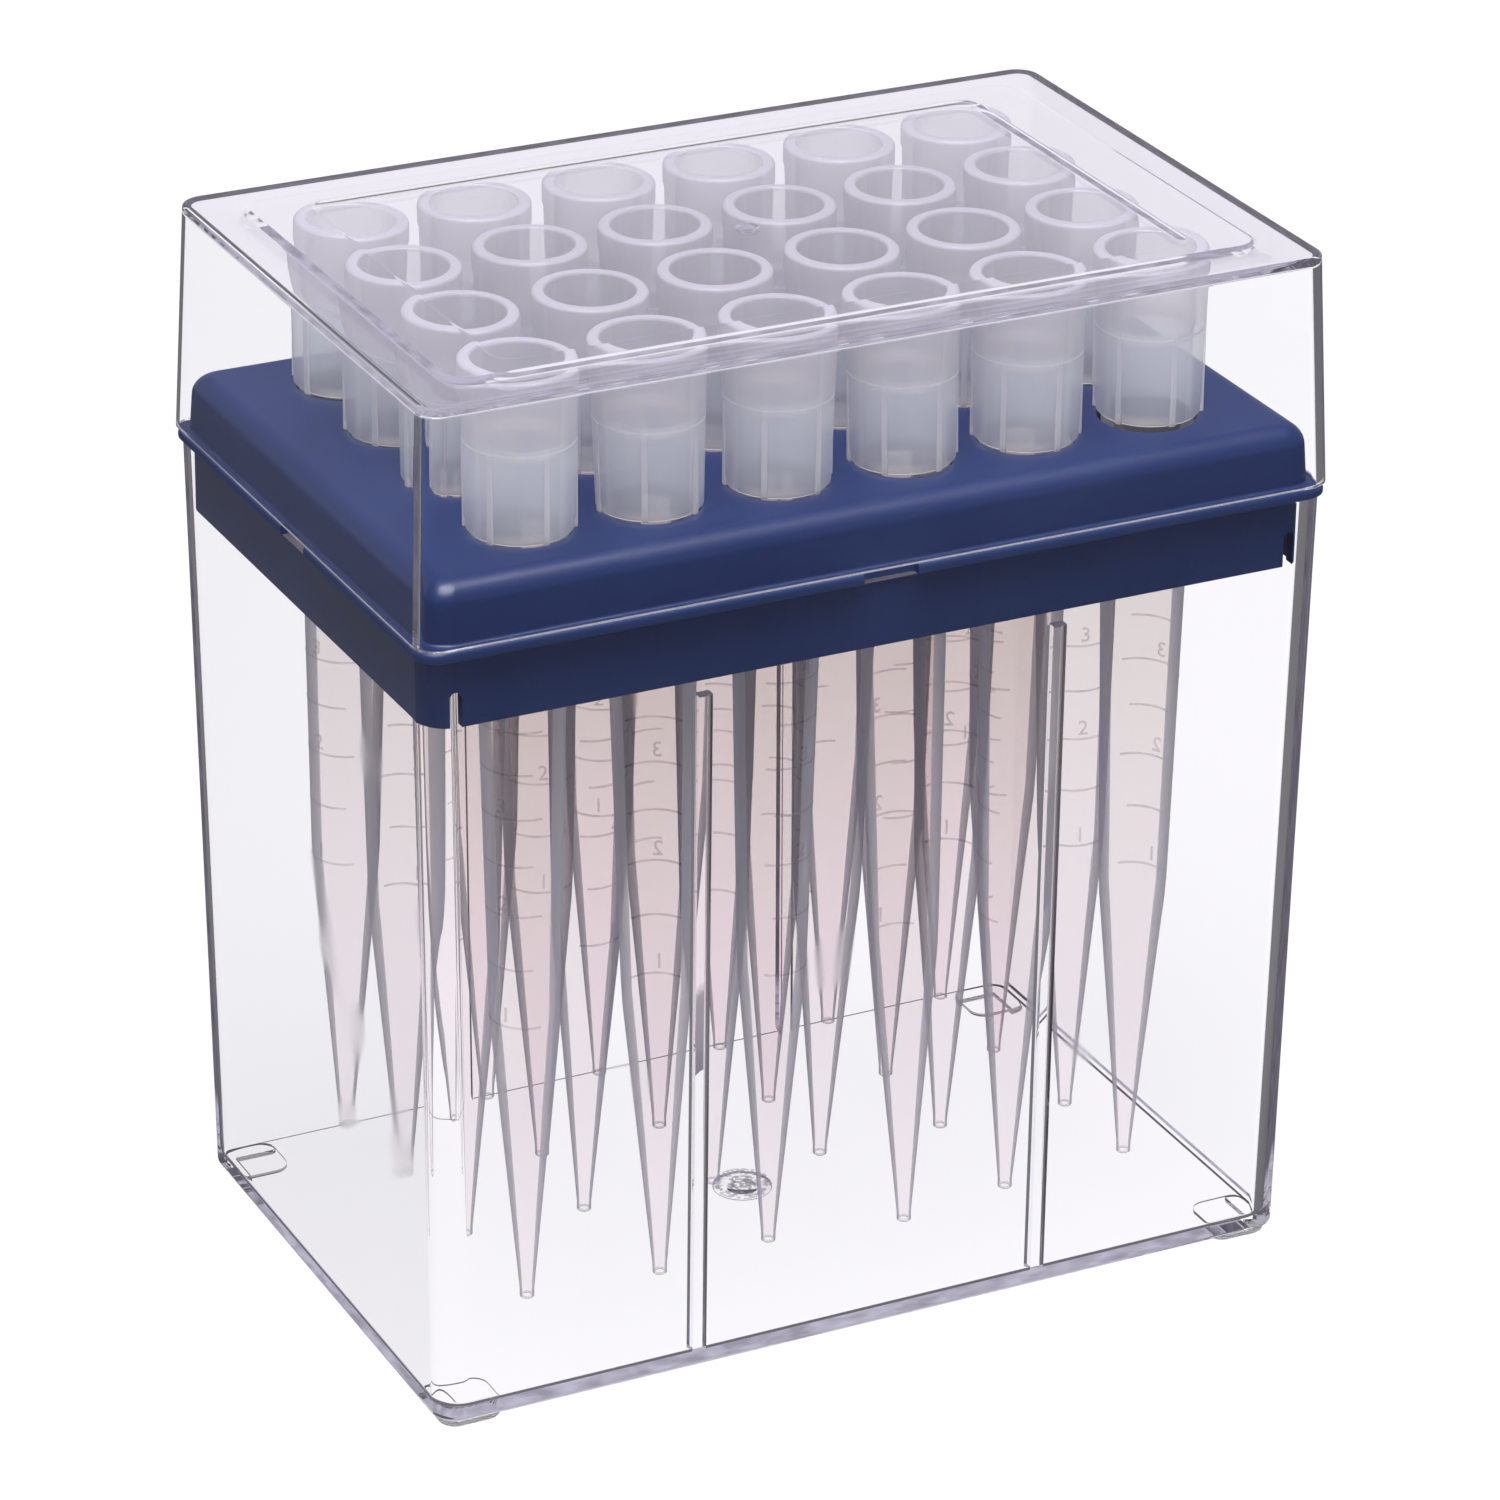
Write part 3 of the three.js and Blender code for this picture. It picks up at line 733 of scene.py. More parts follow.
def tip_plastic(settings):
    """Thin translucent plastic: milky at the collar, clearer down the shank, with painted grey
    shade at the outlines.

    A tip is thin, so a layer of it hides part of what is behind, and tints the rest, without
    bending it. The attributes tell the bore from the outside, the fins, and one tip from another.
    """
    finish = Finish("tip_plastic")
    low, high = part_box(TIP_NODES[0])
    foot = high.z - settings.collar
    height = finish.parts(finish.place())[2]
    bore, tone, fin = (finish.attribute(name) for name in ("bore", "tone", "fin"))
    outside = finish.rest(bore)
    near = finish.rest(finish.node("ShaderNodeNewGeometry").outputs["Backfacing"])
    facing = finish.node("ShaderNodeLayerWeight", Blend=0.5).outputs["Facing"]

    def up(start, end, out_low=0.0, out_high=1.0):
        """A ramp between two heights above the collar's foot."""
        return finish.ramp(height, foot + start, foot + end, out_low, out_high)

    def along(share, one, two):
        """A number that goes from one value to another with a share."""
        return finish.ramp(share, 0.0, 1.0, one, two)

    # Where things are: the outline, whose grey is painted shade; the collar; its upper part; its
    # rim; the painted light of a bright crescent at the collar's foot; the shank's open end, in the
    # outline's painted grey; and the ledge in the bore, with a painted highlight.
    outline = finish.plus(
        finish.ramp(facing, 0.35, 0.38, 0.0, 0.8), finish.ramp(facing, 0.38, 0.7, 0.0, 0.2)
    )
    own = along(tone, -0.02, 0.02)
    collar_outside = up(-0.5 * MM, 0.1 * MM)
    collar = along(bore, collar_outside, up(-11 * MM, -3 * MM))
    upper = up(settings.ledge - 2 * MM, settings.ledge + 2 * MM)
    rim = up(settings.collar - 0.5 * MM, settings.collar - 0.3 * MM)
    # Painted light: a bright cream crescent low on the front of the collar, where it faces the eye,
    # standing in for light that shines up through the hole below.
    painted_crescent_light = finish.times(
        finish.ramp(facing, 0.1, 0.32, 1.0, 0.0), outside, up(0.4 * MM, 1.6 * MM, 1.0, 0.0)
    )
    # A painted grey ring at the shank's open end, the same painted shade as the outlines.
    end = finish.math("COMPARE", height, low.z + 0.1 * MM, 0.15 * MM)
    # Painted highlight: the bore's ledge, and a thin line at its height on every surface, are made
    # whiter and more opaque, where the step would catch the light.
    ledge = finish.math("COMPARE", height, foot + settings.ledge - 0.65 * MM, 0.8 * MM)
    ledge = finish.times(ledge, bore, 0.85)
    line = finish.math("COMPARE", height, foot + settings.ledge, 0.18 * MM)
    ledge = finish.most(ledge, finish.times(line, 0.3))

    # How much a layer hides, on the shank and on the collar.
    solid = finish.ramp(height, 0.03, 0.12, 0.01, 0.06)
    solid = finish.plus(solid, own, finish.times(outline, settings.outline))
    solid = finish.times(solid, outside)
    milky = finish.plus(
        settings.cover, finish.times(own, 1.5), finish.times(outline, 0.1), finish.times(fin, 0.3)
    )
    milky = finish.math("SUBTRACT", milky, finish.times(bore, upper, 0.2))
    milky = finish.plus(milky, finish.times(rim, 0.24), finish.times(painted_crescent_light, 0.35))
    cover = finish.plus(finish.times(along(collar, solid, milky), near), ledge, clamp=True)
    cover = finish.most(cover, finish.times(end, 0.4))

    # The plastic's colour, with painted shade at the outlines and painted light at the crescent and
    # the ledge, and the tint of what is seen through it.
    milk = finish.tinted(upper, settings.milk, settings.milk_top)
    # Fins are whiter, and so is the ledge, where the white is a painted highlight.
    milk = finish.tinted(finish.most(finish.times(fin, 0.9), ledge), milk, (0.97, 0.97, 0.98))
    # The crescent's painted light is cream.
    milk = finish.tinted(finish.times(painted_crescent_light, 0.9), milk, (1.0, 0.95, 0.87))
    # Outlines and the open end take the edge's grey: painted shade.
    shade = finish.times(finish.ramp(outline, 0.0, 0.8), along(collar, 1.0, 0.0))
    body = finish.tinted(finish.most(shade, end), milk, settings.edge)
    front = finish.shader("Principled", Base_Color=body, IOR=1.49, Roughness=0.36)
    outer = finish.blend(collar, finish.shader("Diffuse", Color=body), front)
    glowing = up(0.1 * MM, 0.3 * MM, 0.95, 0.5)
    through = finish.shader("Translucent", Color=body)
    matter = finish.blend(along(collar, 0.5, glowing), outer, through)
    tint = finish.tinted(finish.ramp(height, 0.02, 0.105), settings.clear_low, settings.clear)
    tint = finish.tinted(collar_outside, tint, (0.965, 0.965, 0.975))
    shown = finish.blend(cover, finish.shader("Transparent", Color=tint), matter)
    return finish.close(finish.let_light_pass(shown, settings.shadow))


def graduation_plastic():
    """The graduations' finish: the tip's plastic, darker where its relief bends the light."""
    finish = Finish("graduation_plastic")
    cover = finish.ramp(finish.noise(400.0, 0.0), 0.3, 0.7, 0.05, 0.13)
    tone = finish.ramp(finish.noise(90.0), 0.3, 0.7)
    tone = finish.tinted(tone, (0.42, 0.41, 0.44), (0.5, 0.49, 0.52))
    relief = finish.shader("Principled", Base_Color=tone, Roughness=0.4, IOR=1.49)
    clear = finish.shader("Transparent", Color=(0.925, 0.915, 0.92))
    return finish.close(finish.blend(cover, clear, relief))


def eye_share(finish, mirrored=1.0):
    """A socket that is 1 for light on its way to the eye with no dull surface between, else 0.

    A reflection off an outer face sees the dim room, as one behind a whole wall does. One inside a
    wall sees the white, times mirrored. The light path's outputs are given too.
    """
    path = finish.node("ShaderNodeLightPath").outputs
    through = finish.math("LESS_THAN", path["Glossy Depth"], 0.5)
    entered = finish.math("GREATER_THAN", path["Transmission Depth"], 1.5)
    within = finish.math("LESS_THAN", path["Transmission Depth"], 3.5)
    clear = finish.math("LESS_THAN", path["Diffuse Depth"], 0.5)
    seen = finish.most(through, finish.times(entered, within, mirrored))
    return finish.times(seen, clear), path


def studio_floor():
    """A pale floor that is white to the eye and keeps a soft shadow."""
    finish = Finish("studio_floor")
    seen, path = eye_share(finish, 0.0)
    mirrored = finish.math("GREATER_THAN", path["Glossy Depth"], 0.5)
    tone = finish.tinted(mirrored, (0.8, 0.8, 0.81), (0.12, 0.12, 0.125))
    lit = finish.shader("Diffuse", Color=tone)
    white = finish.node("ShaderNodeEmission", Color=(1, 1, 1), Strength=1.05).outputs[0]
    finish.owner.cycles.emission_sampling = "NONE"
    return finish.close(finish.blend(finish.times(seen, FLOOR_WHITE), lit, white))


def studio_room(settings):
    """White to the eye, dim overhead in reflections, soft grey for the light it gives."""
    finish = Finish("room", world=True)
    seen, path = eye_share(finish)
    upward = finish.parts(finish.node("ShaderNodeTexCoord").outputs["Generated"])[2]
    dim = finish.ramp(upward, 0.0, 0.4, 0.85, settings.overhead)
    tones = ((0.97, 0.975, 1.0), settings.ambient), ((0.97, 0.93, 1.0), dim), ((1, 1, 1), 1.0)
    lit, mirrored, white = (
        finish.node("ShaderNodeBackground", Color=tone, Strength=strength).outputs[0]
        for tone, strength in tones
    )
    glossy = finish.math("GREATER_THAN", path["Glossy Depth"], 0.5)
    finish.owner.cycles.sampling_method = "NONE"
    return finish.close(finish.blend(seen, finish.blend(glossy, lit, mirrored), white))


# ---------------------------------------------------------------- operators


class TIPBOX_OT_studio(bpy.types.Operator):
    """Makes the camera, the soft key light, the room and the pale floor"""

    bl_idname = "tipbox.studio"
    bl_label = "Studio"

    def execute(self, context):
        scene, s = context.scene, context.scene.tip_box_studio
        scene.view_settings.view_transform = "Standard"
        scene.cycles.max_bounces = 16
        scene.cycles.diffuse_bounces = 1
        scene.cycles.glossy_bounces = 6
        scene.cycles.transmission_bounces = 10
        scene.cycles.transparent_max_bounces = 40
        scene.world = studio_room(s)
        self.camera(scene, s)
        self.key_light(s)
        floor = bmesh.new()
        bmesh.ops.create_grid(floor, x_segments=1, y_segments=1, size=FLOOR_REACH)
        ground = as_object("studio_floor", floor)
        ground.data.materials.append(studio_floor())
        return {"FINISHED"}

    def camera(self, scene, s):
        data = bpy.data.cameras.new("camera")
        data.sensor_width, data.lens = 36.0, s.lens
        data.clip_start, data.clip_end = 0.01, 50.0
        eye = bpy.data.objects.new("camera", data)
        scene.collection.objects.link(eye)
        a, e = s.azimuth, s.elevation
        back = Vector((math.sin(a) * math.cos(e), -math.cos(a) * math.cos(e), math.sin(e)))
        right = Vector((math.cos(a), math.sin(a), 0))
        up = back.cross(right)
        c, r = math.cos(s.roll), math.sin(s.roll)
        turned_right, turned_up = right * c + up * r, up * c - right * r
        place = CAMERA_AIM + back * s.distance
        rows = zip(turned_right, turned_up, back, place)
        eye.matrix_world = Matrix([*rows, (0, 0, 0, 1)])
        scene.camera = eye

    def key_light(self, s):
        data = bpy.data.lights.new("key_light", "AREA")
        data.shape, data.size, data.energy = "SQUARE", KEY_SIDE, s.key
        data.color = (1.0, 0.99, 0.985)
        lamp = bpy.data.objects.new("key_light", data)
        bpy.context.scene.collection.objects.link(lamp)
        lamp.location = KEY_PLACE
        lamp.rotation_euler = (KEY_AIM - KEY_PLACE).to_track_quat("-Z", "Y").to_euler()


class TIPBOX_OT_tub(bpy.types.Operator):
    """Makes the clear tub with its ribs, feet and moulding mark"""

    bl_idname = "tipbox.tub"
    bl_label = "Tub"

    def execute(self, context):
        s = context.scene.tip_box_tub
        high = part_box("base_box")[1]
        half_x, half_y, top = high.x - s.draft, high.y - s.draft, high.z
        foot, floor = s.foot_height, s.foot_height + s.floor

        def level(z, inset, tuck=0.0):
            """A ring of the wall at a height, inset from the outside, tucked in by a rounding."""
            lean = s.draft * (z - foot) / (top - foot)
            reach = lean - inset - tuck
            radius = (s.inner_corner if inset else s.corner) - tuck * 0.4
            return rounded_ring(half_x + reach, half_y + reach, radius, z)

        rings = []
        for across, up in arc(s.edge, -90, 0, 5):
            rings.append(level(foot + s.edge + up, 0, s.edge - across))
        lip = 0.25 * MM
        for across, up in arc(lip, 0, 90, 3):
            rings.append(level(top - lip + up, 0, lip - across))
        for across, up in arc(lip, 90, 0, 3):
            rings.append(level(top - lip + up, s.wall, across - lip))
        fillet = 1.1 * MM
        for across, up in arc(fillet, 0, -90, 5):
            rings.append(level(floor + fillet + up, s.wall, fillet - across))
        tub = skinned("tub_body", rings)

        corner_x, corner_y = half_x - s.foot_inset, half_y - s.foot_inset
        size = s.foot_size
        pad_rings = []
        for z, tuck in ((0, 0.25 * MM), (0.25 * MM, 0), (foot + s.floor / 2, 0)):
            half = size / 2 - tuck
            ring = rounded_ring(half, half, s.corner - s.foot_inset, z, 6)
            pad_rings.append([(x - size / 2, y - size / 2, z) for x, y, z in ring])
        pad = skinned("foot", pad_rings)
        outer = -size - MM
        inner = (-s.foot_lip, -s.foot_lip, s.foot_pocket)
        combined(pad, block("pocket", (outer, outer, -MM), inner), "DIFFERENCE")
        corners = corner_tree("feet_at_corners", True)
        repeated(pad, corners, tub, "UNION", half_length=corner_x, half_width=corner_y)

        def wall(z):
            return half_y + s.draft * (z - foot) / (top - foot) - s.wall

        rib = bmesh.new()
        section = [
            (wall(floor) + s.wall / 2, floor - s.floor / 2),
            (wall(s.rib_top) + s.wall / 2, s.rib_top),
            (wall(s.rib_top) - s.rib_depth + s.rib_chamfer, s.rib_top),
            (wall(s.rib_top) - s.rib_depth, s.rib_top - s.rib_chamfer),
            (wall(floor) - s.rib_depth, floor - s.floor / 2),
        ]
        half = s.rib_width / 2
        sides = [[rib.verts.new((x, y - half_y, z)) for y, z in section] for x in (-half, half)]
        for i in range(len(section)):
            j = (i + 1) % len(section)
            rib.faces.new((sides[0][i], sides[0][j], sides[1][j], sides[1][i]))
        rib.faces.new(sides[0][::-1])
        rib.faces.new(sides[1])
        bmesh.ops.recalc_face_normals(rib, faces=rib.faces)
        rib.verts.ensure_lookup_table()
        reach = -s.wall - s.rib_depth + s.rib_chamfer + s.draft + 0.5 * MM
        inner = [
            edge for edge in rib.edges
            if all(vertex.co.y < reach for vertex in edge.verts)
            and abs(edge.verts[0].co.x - edge.verts[1].co.x) < 1e-6
        ]
        rounded(rib, inner, 0.28 * MM)
        walls = corner_tree("ribs_on_walls", False)
        spacing = s.rib_spacing / 2
        repeated(
            as_object("rib", rib), walls, tub, "UNION", half_length=spacing, half_width=half_y
        )

        rim = s.gate / 2
        mark = [(AXIS, foot - MM), (rim, foot - MM), (rim, foot + 0.25 * MM)]
        mark += [(rim - 0.3 * MM, foot + 0.4 * MM), (s.gate * 0.3, foot + 0.4 * MM)]
        mark += [(s.gate * 0.26, foot + 0.2 * MM), (0.5 * MM, foot + 0.12 * MM)]
        mark += [(AXIS, foot + 0.12 * MM)]
        combined(tub, turned("gate_mark", mark, 36), "DIFFERENCE")
        smoothed(tub)
        c = context.scene.tip_box_clear
        clear = clear_plastic(
            c, "clear_plastic_tub", c.tint, s.gate, flat_mirror=0.1, edge_from=0.006, edge_to=0.003
        )
        finished(tub, "tub", "clear_plastic", clear, "base_box")
        return {"FINISHED"}


class TIPBOX_OT_rack(bpy.types.Operator):
    """Makes the navy rack with its holes, finger notches and skirt slots"""

    bl_idname = "tipbox.rack"
    bl_label = "Rack"

    def execute(self, context):
        s = context.scene.tip_box_rack
        low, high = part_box("tip_rack")
        flange_x, flange_y, bottom, top = high.x, high.y, low.z, high.z
        deck_x, deck_y = flange_x - s.flange_width, flange_y - s.flange_width
        skirt_x, skirt_y = flange_x - s.skirt_inset, flange_y - s.skirt_inset
        flange_top = top - s.deck_height
        flange_under = flange_top - s.flange
        ceiling = top - s.deck_thickness

        def ring(half_x, half_y, inset, radius, z):
            return rounded_ring(half_x - inset, half_y - inset, max(radius, 0.3 * MM), z)

        rings = []
        inner_edge = s.deck_edge / 2
        for across, up in arc(inner_edge, 90, 0, 4):
            inset = s.wall + s.deck_draft + inner_edge - across
            height = ceiling - inner_edge + up
            rings.append(ring(skirt_x, skirt_y, inset, CORNER - s.wall, height))
        nib = 0.2 * MM
        for across, up in arc(nib, 180, 270, 3):
            inset, height = s.wall - nib - across, bottom + nib + up
            rings.append(ring(skirt_x, skirt_y, inset, CORNER - s.wall, height))
        for across, up in arc(nib, 270, 360, 3):
            rings.append(ring(skirt_x, skirt_y, nib - across, CORNER - nib, bottom + nib + up))
        rings.append(ring(skirt_x, skirt_y, 0, CORNER, flange_under))
        edge = 0.3 * MM
        for across, up in arc(edge, 270, 360, 3):
            rings.append(ring(flange_x, flange_y, edge - across, CORNER, flange_under + edge + up))
        edge = 0.8 * MM
        for across, up in arc(edge, 0, 90, 5):
            rings.append(ring(flange_x, flange_y, edge - across, CORNER, flange_top - edge + up))
        fillet = 0.5 * MM
        for across, up in arc(fillet, 270, 180, 3):
            rings.append(ring(deck_x, deck_y, -fillet - across, CORNER, flange_top + fillet + up))
        for across, up in arc(s.deck_edge, 0, 90, 8):
            inset = s.deck_draft + s.deck_edge - across
            rings.append(ring(deck_x, deck_y, inset, CORNER - inset * 0.5, top - s.deck_edge + up))
        rack = skinned("rack_body", rings)

        flare = s.hole_flare
        cut = [(AXIS, ceiling - MM), (s.hole, ceiling - MM), (s.hole, top - flare * 1.5)]
        cut += [(s.hole + flare * 0.3, top - flare * 0.5), (s.hole + flare, top + 0.02 * MM)]
        cut += [(s.hole + flare, top + MM), (AXIS, top + MM)]
        deck = grid_tree("holes_in_deck")
        counts = {"columns": COLUMNS, "rows": ROWS, "pitch": s.pitch}
        repeated(turned("hole", cut, 48), deck, rack, "DIFFERENCE", **counts)

        notch = skinned("notch", [
            rounded_ring(s.notch_depth, s.notch_length / 2, 0.5 * MM, z, 4)
            for z in (flange_under - 0.5 * MM, flange_top + 0.02 * MM)
        ])
        sides = middle_tree("notches_in_flange")
        repeated(notch, sides, rack, "DIFFERENCE", half_length=flange_x, half_width=flange_y)

        half, head = s.slot_width / 2, s.slot_height - s.slot_width / 2
        outline = [(-half, -MM), (half, -MM)] + [(x, head + z) for x, z in arc(half, 0, 180, 10)]
        slot = [[(x, y, bottom + z) for x, z in outline] for y in (-3 * MM, 3 * MM)]
        ends = corner_tree("slots_in_skirt", False)
        reach = {"half_length": skirt_x - s.slot_inset, "half_width": skirt_y}
        repeated(skinned("slot", slot), ends, rack, "DIFFERENCE", **reach)
        smoothed(rack)
        finished(rack, "rack", "navy_plastic", navy_plastic(s), "tip_rack")
        return {"FINISHED"}


class TIPBOX_OT_lid(bpy.types.Operator):
    """Makes the clear lid with the stepped band on its roof"""

    bl_idname = "tipbox.lid"
    bl_label = "Lid"

    def execute(self, context):
        s = context.scene.tip_box_lid
        low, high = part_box("lid")
        foot_x, foot_y, foot, crest = high.x, high.y, low.z, high.z
        roof = crest - s.band
        under = roof - s.roof

        def side(z, inset, tuck=0.0):
            reach = -s.draft * (z - foot) / (roof - foot) - inset - tuck
            radius = max(CORNER - inset - tuck * 0.5, 0.4 * MM)
            return rounded_ring(foot_x + reach, foot_y + reach, radius, z)

        rings = []
        inner = 0.3 * MM
        for across, up in arc(inner, 90, 0, 4):
            rings.append(side(under - inner + up, s.wall, inner - across))
        nib = 0.22 * MM
        for across, up in arc(nib, 180, 270, 3):
            rings.append(side(foot + nib + up, s.wall, -nib - across))
        for across, up in arc(nib, 270, 360, 3):
            rings.append(side(foot + nib + up, 0, nib - across))
        for across, up in arc(s.edge, 0, 90, 6):
            rings.append(side(roof - s.edge + up, 0, s.edge - across))
        band_x, band_y = foot_x - s.draft - s.band_inset, foot_y - s.draft - s.band_inset
        panel_x, panel_y = band_x - s.band_end, band_y - s.band_side
        over = 0.12 * MM
        steps = (
            (band_x, band_y, s.band_slope, s.band_slope, roof),
            (band_x, band_y, over, 0, crest - over * 0.5),
            (band_x, band_y, -over, 0, crest),
            (panel_x, panel_y, over, 0, crest),
            (panel_x, panel_y, -over, 0, crest - over * 0.5),
            (panel_x, panel_y, -s.band_slope, -s.band_slope, roof),
        )
        for half_x, half_y, out, wider, z in steps:
            rings.append(rounded_ring(half_x + out, half_y + out, s.band_corner + wider, z))
        lid = skinned("lid_body", rings)
        mark = [(AXIS, roof + MM), (s.gate / 2, roof + MM), (s.gate / 2, roof - 0.12 * MM)]
        mark += [(s.gate * 0.36, roof - 0.2 * MM), (s.gate * 0.3, roof - 0.06 * MM)]
        mark += [(AXIS, roof - 0.05 * MM)]
        combined(lid, turned("gate_mark", mark, 32), "DIFFERENCE")
        smoothed(lid)
        c = context.scene.tip_box_clear
        clear = clear_plastic(
            c,
            "clear_plastic_lid",
            c.roof_tint,
            s.gate,
            flat_mirror=0.81,
            edge_from=0.14,
            edge_to=0.143,
        )
        finished(lid, "lid", "clear_plastic", clear, "lid")
        return {"FINISHED"}


def tip_profile(s):
    """A tip's closed section as (radius, height) above the collar's foot."""
    end = -s.shank
    knee, nozzle = end + s.knee_height, end + s.nozzle_length
    band, ledge = s.collar - s.band, s.ledge
    bore = s.shank_top - s.wall
    rim, wide = 0.6 * MM, bore + 0.25 * MM
    outside = [(s.nozzle - 0.12 * MM, end), (s.nozzle, end + 0.12 * MM), (s.nozzle, nozzle)]
    steep, slim = s.knee - s.nozzle, s.shank_top - s.knee
    for t in (0.04, 0.35, 0.7, 0.96):
        outside.append((s.nozzle + steep * t, nozzle + (knee - nozzle) * t))
    for t in (0.03, 0.35, 0.7, 0.995):
        outside.append((s.knee + slim * t, knee * (1 - t)))
    outside += [(s.shank_top + 0.12 * MM, -0.05 * MM), (s.collar_foot - 0.2 * MM, 0)]
    outside += [(s.collar_foot, 0.2 * MM), (s.rim - 0.2 * MM, band), (s.rim, band + 0.35 * MM)]
    outside += [(s.rim - rim + x, s.collar - rim + z) for x, z in arc(rim, 0, 90, 5)]
    inside = [(wide + 0.3 * MM - x, s.collar - 0.3 * MM + z) for x, z in arc(0.3 * MM, 90, 0, 3)]
    inside += [(wide, ledge), (bore, ledge - 1.3 * MM), (bore, 0)]
    inside += [(s.knee - s.wall, knee), (s.orifice + 0.1 * MM, nozzle + MM)]
    inside += [(s.orifice, end + 0.1 * MM)]
    return outside + inside


def graduation_heights(s):
    """(volume, height above the collar's foot, outer radius) of each half-millilitre line.

    They lie where the slim cone, inside its graded_wall, holds their volume above cone_volume.
    """
    millilitre = 1e-6
    knee = -s.shank + s.knee_height
    slope = (s.shank_top - s.knee) / -knee
    low = s.knee - s.graded_wall
    found = []
    count = int(round((s.last_mark - s.first_mark) * 2)) + 1
    for i in range(count):
        volume = s.first_mark + i / 2
        left = (volume - s.cone_volume) * millilitre
        cube = low**3 + 3 * slope * left / math.pi
        rise = (cube ** (1 / 3) - low) / slope
        found.append((volume, knee + rise, s.knee + slope * rise))
    return found


def is_whole(volume):
    return abs(volume - round(volume)) < 1e-6


class TIPBOX_OT_tips(bpy.types.Operator):
    """Makes the 24 tips with their fins and graduations, each where its CAD node hangs"""

    bl_idname = "tipbox.tips"
    bl_label = "Tips"

    def execute(self, context):
        s = context.scene.tip_box_tips
        body = turned("tip", tip_profile(s), 48)
        fin = block(
            "fin",
            (s.shank_top, -s.fin_width / 2, 0),
            (s.collar_foot + s.fin_reach, s.fin_width / 2, s.collar - s.band - MM),
            0.12 * MM,
        )
        repeated(fin, ring_tree("fins_round_collar"), body, "UNION", count=s.fins)
        smoothed(body)
        self.mark_sides(body, s)

        plastic = tip_plastic(s)
        marks = self.marks(s)
        places = self.places(s)
        tree = hanging_tree("tips_in_rack")
        tips = tree.grown("tips", places, piece=body, seed=TONE_SEED, material=plastic)
        relief = graduation_plastic()
        lines = tree.grown("graduations", places, piece=marks, seed=TONE_SEED, material=relief)
        for made in (body, marks):
            bpy.data.objects.remove(made)
        finished(tips, "rack", "tip_plastic", plastic, *TIP_NODES)
        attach(lines, "rack")
        return {"FINISHED"}

    def mark_sides(self, body, s):
        """Stores which vertices face the tip's axis, as bore, and which are a fin's, as fin."""
        bore, fin = [], []
        slope = (s.rim - 0.2 * MM - s.collar_foot) / (s.collar - s.band)
        for vertex in body.data.vertices:
            x, y, z = vertex.co
            away = Vector((x, y, 0)).normalized()
            bore.append(1.0 if vertex.normal.dot(away) < -0.3 else 0.0)
            proud = math.hypot(x, y) - s.collar_foot - slope * z
            beside = -0.1 * MM < z < s.collar - s.band - 0.5 * MM
            fin.append(1.0 if proud > 0.05 * MM and beside else 0.0)
        body.data.attributes.new("bore", "FLOAT", "POINT").data.foreach_set("value", bore)
        body.data.attributes.new("fin", "FLOAT", "POINT").data.foreach_set("value", fin)

    def marks(self, s):
        """The graduation lines and numerals of one tip, on the side of local +X."""
        found = graduation_heights(s)
        points = bpy.data.meshes.new("graduation_heights")
        points.from_pydata([(0, 0, z) for _, z, _ in found], [], [])
        radius = points.attributes.new("radius", "FLOAT", "POINT")
        sweep = points.attributes.new("sweep", "FLOAT", "POINT")
        for i, (volume, _, outer) in enumerate(found):
            radius.data[i].value = outer - s.mark_width * 0.2
            sweep.data[i].value = s.whole_sweep if is_whole(volume) else s.half_sweep
        tree = graduation_tree("graduation_lines")
        lines = tree.grown("graduation_lines", points, width=s.mark_width, steps=15)
        mesh = bmesh.new()
        mesh.from_mesh(lines.data)
        bpy.data.objects.remove(lines)
        for volume, z, outer in found:
            if not is_whole(volume):
                continue
            curve = bpy.data.curves.new("numeral", "FONT")
            curve.body = str(int(round(volume)))
            curve.size = s.numeral * FONT_OVER_NUMERAL
            curve.align_x = "CENTER"
            curve.extrude = 0.08 * MM
            curve.resolution_u = 3
            text = bpy.data.objects.new("numeral", curve)
            bpy.context.scene.collection.objects.link(text)
            graph = bpy.context.evaluated_depsgraph_get()
            flat = bpy.data.meshes.new_from_object(text.evaluated_get(graph))
            for vertex in flat.vertices:
                x, y, depth = vertex.co
                angle, reach = x / outer, outer + 0.02 * MM + depth
                vertex.co = (reach * math.cos(angle), reach * math.sin(angle), z + 0.7 * MM + y)
            mesh.from_mesh(flat)
            bpy.data.objects.remove(text)
        return as_object("marks", mesh)

    def places(self, s):
        """A mesh of points at the tips' collars, with each tip's turn, read from the CAD nodes."""
        spots, turns = [], []
        for name, fins_on in zip(TIP_NODES, GRADUATION_TURNS):
            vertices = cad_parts[name].data.vertices
            points = np.zeros(len(vertices) * 3, np.float32)
            vertices.foreach_get("co", points)
            points = np.unique(np.round(points.reshape(-1, 3).astype(float), 7), axis=0)
            end = points[points[:, 2] < points[:, 2].min() + 0.3 * MM].mean(axis=0)
            rim = points[points[:, 2] > points[:, 2].max() - 0.3 * MM].mean(axis=0)
            axis = (rim - end) / np.linalg.norm(rim - end)
            spot = end + axis * s.shank
            across = np.array([1.0, 0, 0]) - axis[0] * axis
            across /= np.linalg.norm(across)
            along = np.cross(axis, across)
            apart = points - spot
            up, x, y = apart @ axis, apart @ across, apart @ along
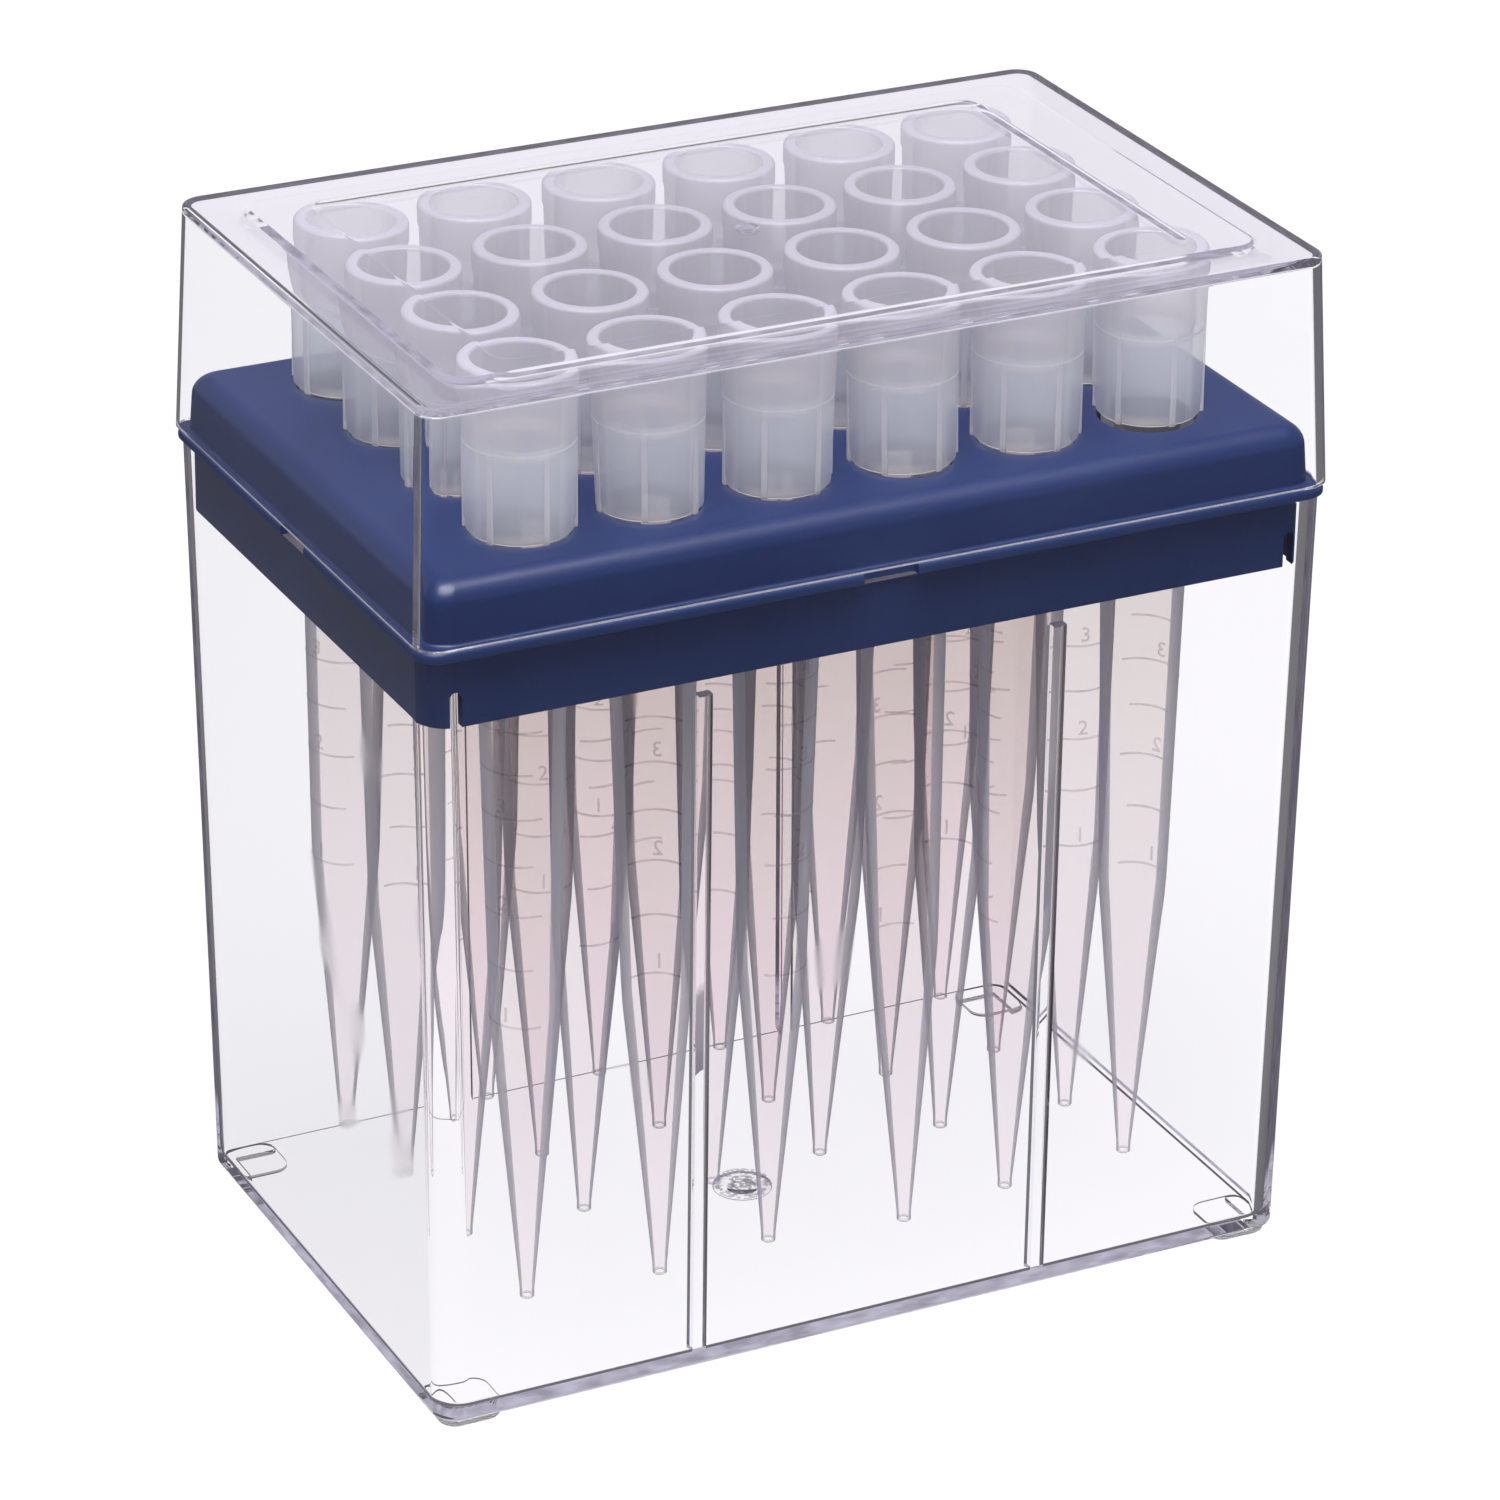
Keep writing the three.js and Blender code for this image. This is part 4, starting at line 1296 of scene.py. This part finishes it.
            # Near the collar's foot, only fins stand out from it.
            fin = (up > -0.2 * MM) & (up < 5 * MM) & (np.hypot(x, y) > s.collar_foot + 0.15 * MM)
            if not fin.any():
                raise RuntimeError(f"{name} shows no fins to read its turn from")
            phase = np.exp(1j * s.fins * np.arctan2(y[fin], x[fin])).mean()
            turn = float(np.angle(phase)) / s.fins + fins_on * 2 * math.pi / s.fins
            first = across * math.cos(turn) + along * math.sin(turn)
            second = np.cross(axis, first)
            matrix = Matrix([[first[i], second[i], axis[i]] for i in range(3)])
            spots.append(tuple(spot))
            turns.append(tuple(matrix.to_euler()))
        mesh = bpy.data.meshes.new("tip_places")
        mesh.from_pydata(spots, [], [])
        attribute = mesh.attributes.new("turn", "FLOAT_VECTOR", "POINT")
        for item, turn in zip(attribute.data, turns):
            item.vector = turn
        return mesh


OPERATORS = (TIPBOX_OT_studio, TIPBOX_OT_tub, TIPBOX_OT_rack, TIPBOX_OT_lid, TIPBOX_OT_tips)


class TIPBOX_PT_panel(bpy.types.Panel):
    """The tip box's sizes and pieces"""

    bl_idname = "TIPBOX_PT_panel"
    bl_label = "Pipette Tip Box"
    bl_space_type = "VIEW_3D"
    bl_region_type = "UI"
    bl_category = "Tip Box"

    def draw(self, context):
        for name in GROUPS:
            box = self.layout.box()
            settings = getattr(context.scene, name)
            for key in GROUPS[name].__annotations__:
                box.prop(settings, key)
        for operator in OPERATORS:
            self.layout.operator(operator.bl_idname)


CLASSES = (*GROUPS.values(), *OPERATORS, TIPBOX_PT_panel)


def register():
    for item in CLASSES:
        bpy.utils.register_class(item)
    for name, group in GROUPS.items():
        setattr(bpy.types.Scene, name, bpy.props.PointerProperty(type=group))


def unregister():
    for name in GROUPS:
        delattr(bpy.types.Scene, name)
    for item in reversed(CLASSES):
        bpy.utils.unregister_class(item)


def main():
    register()
    bpy.ops.tipbox.studio()
    bpy.ops.tipbox.tub()
    bpy.ops.tipbox.rack()
    bpy.ops.tipbox.lid()
    bpy.ops.tipbox.tips()


if __name__ == "__main__":
    main()
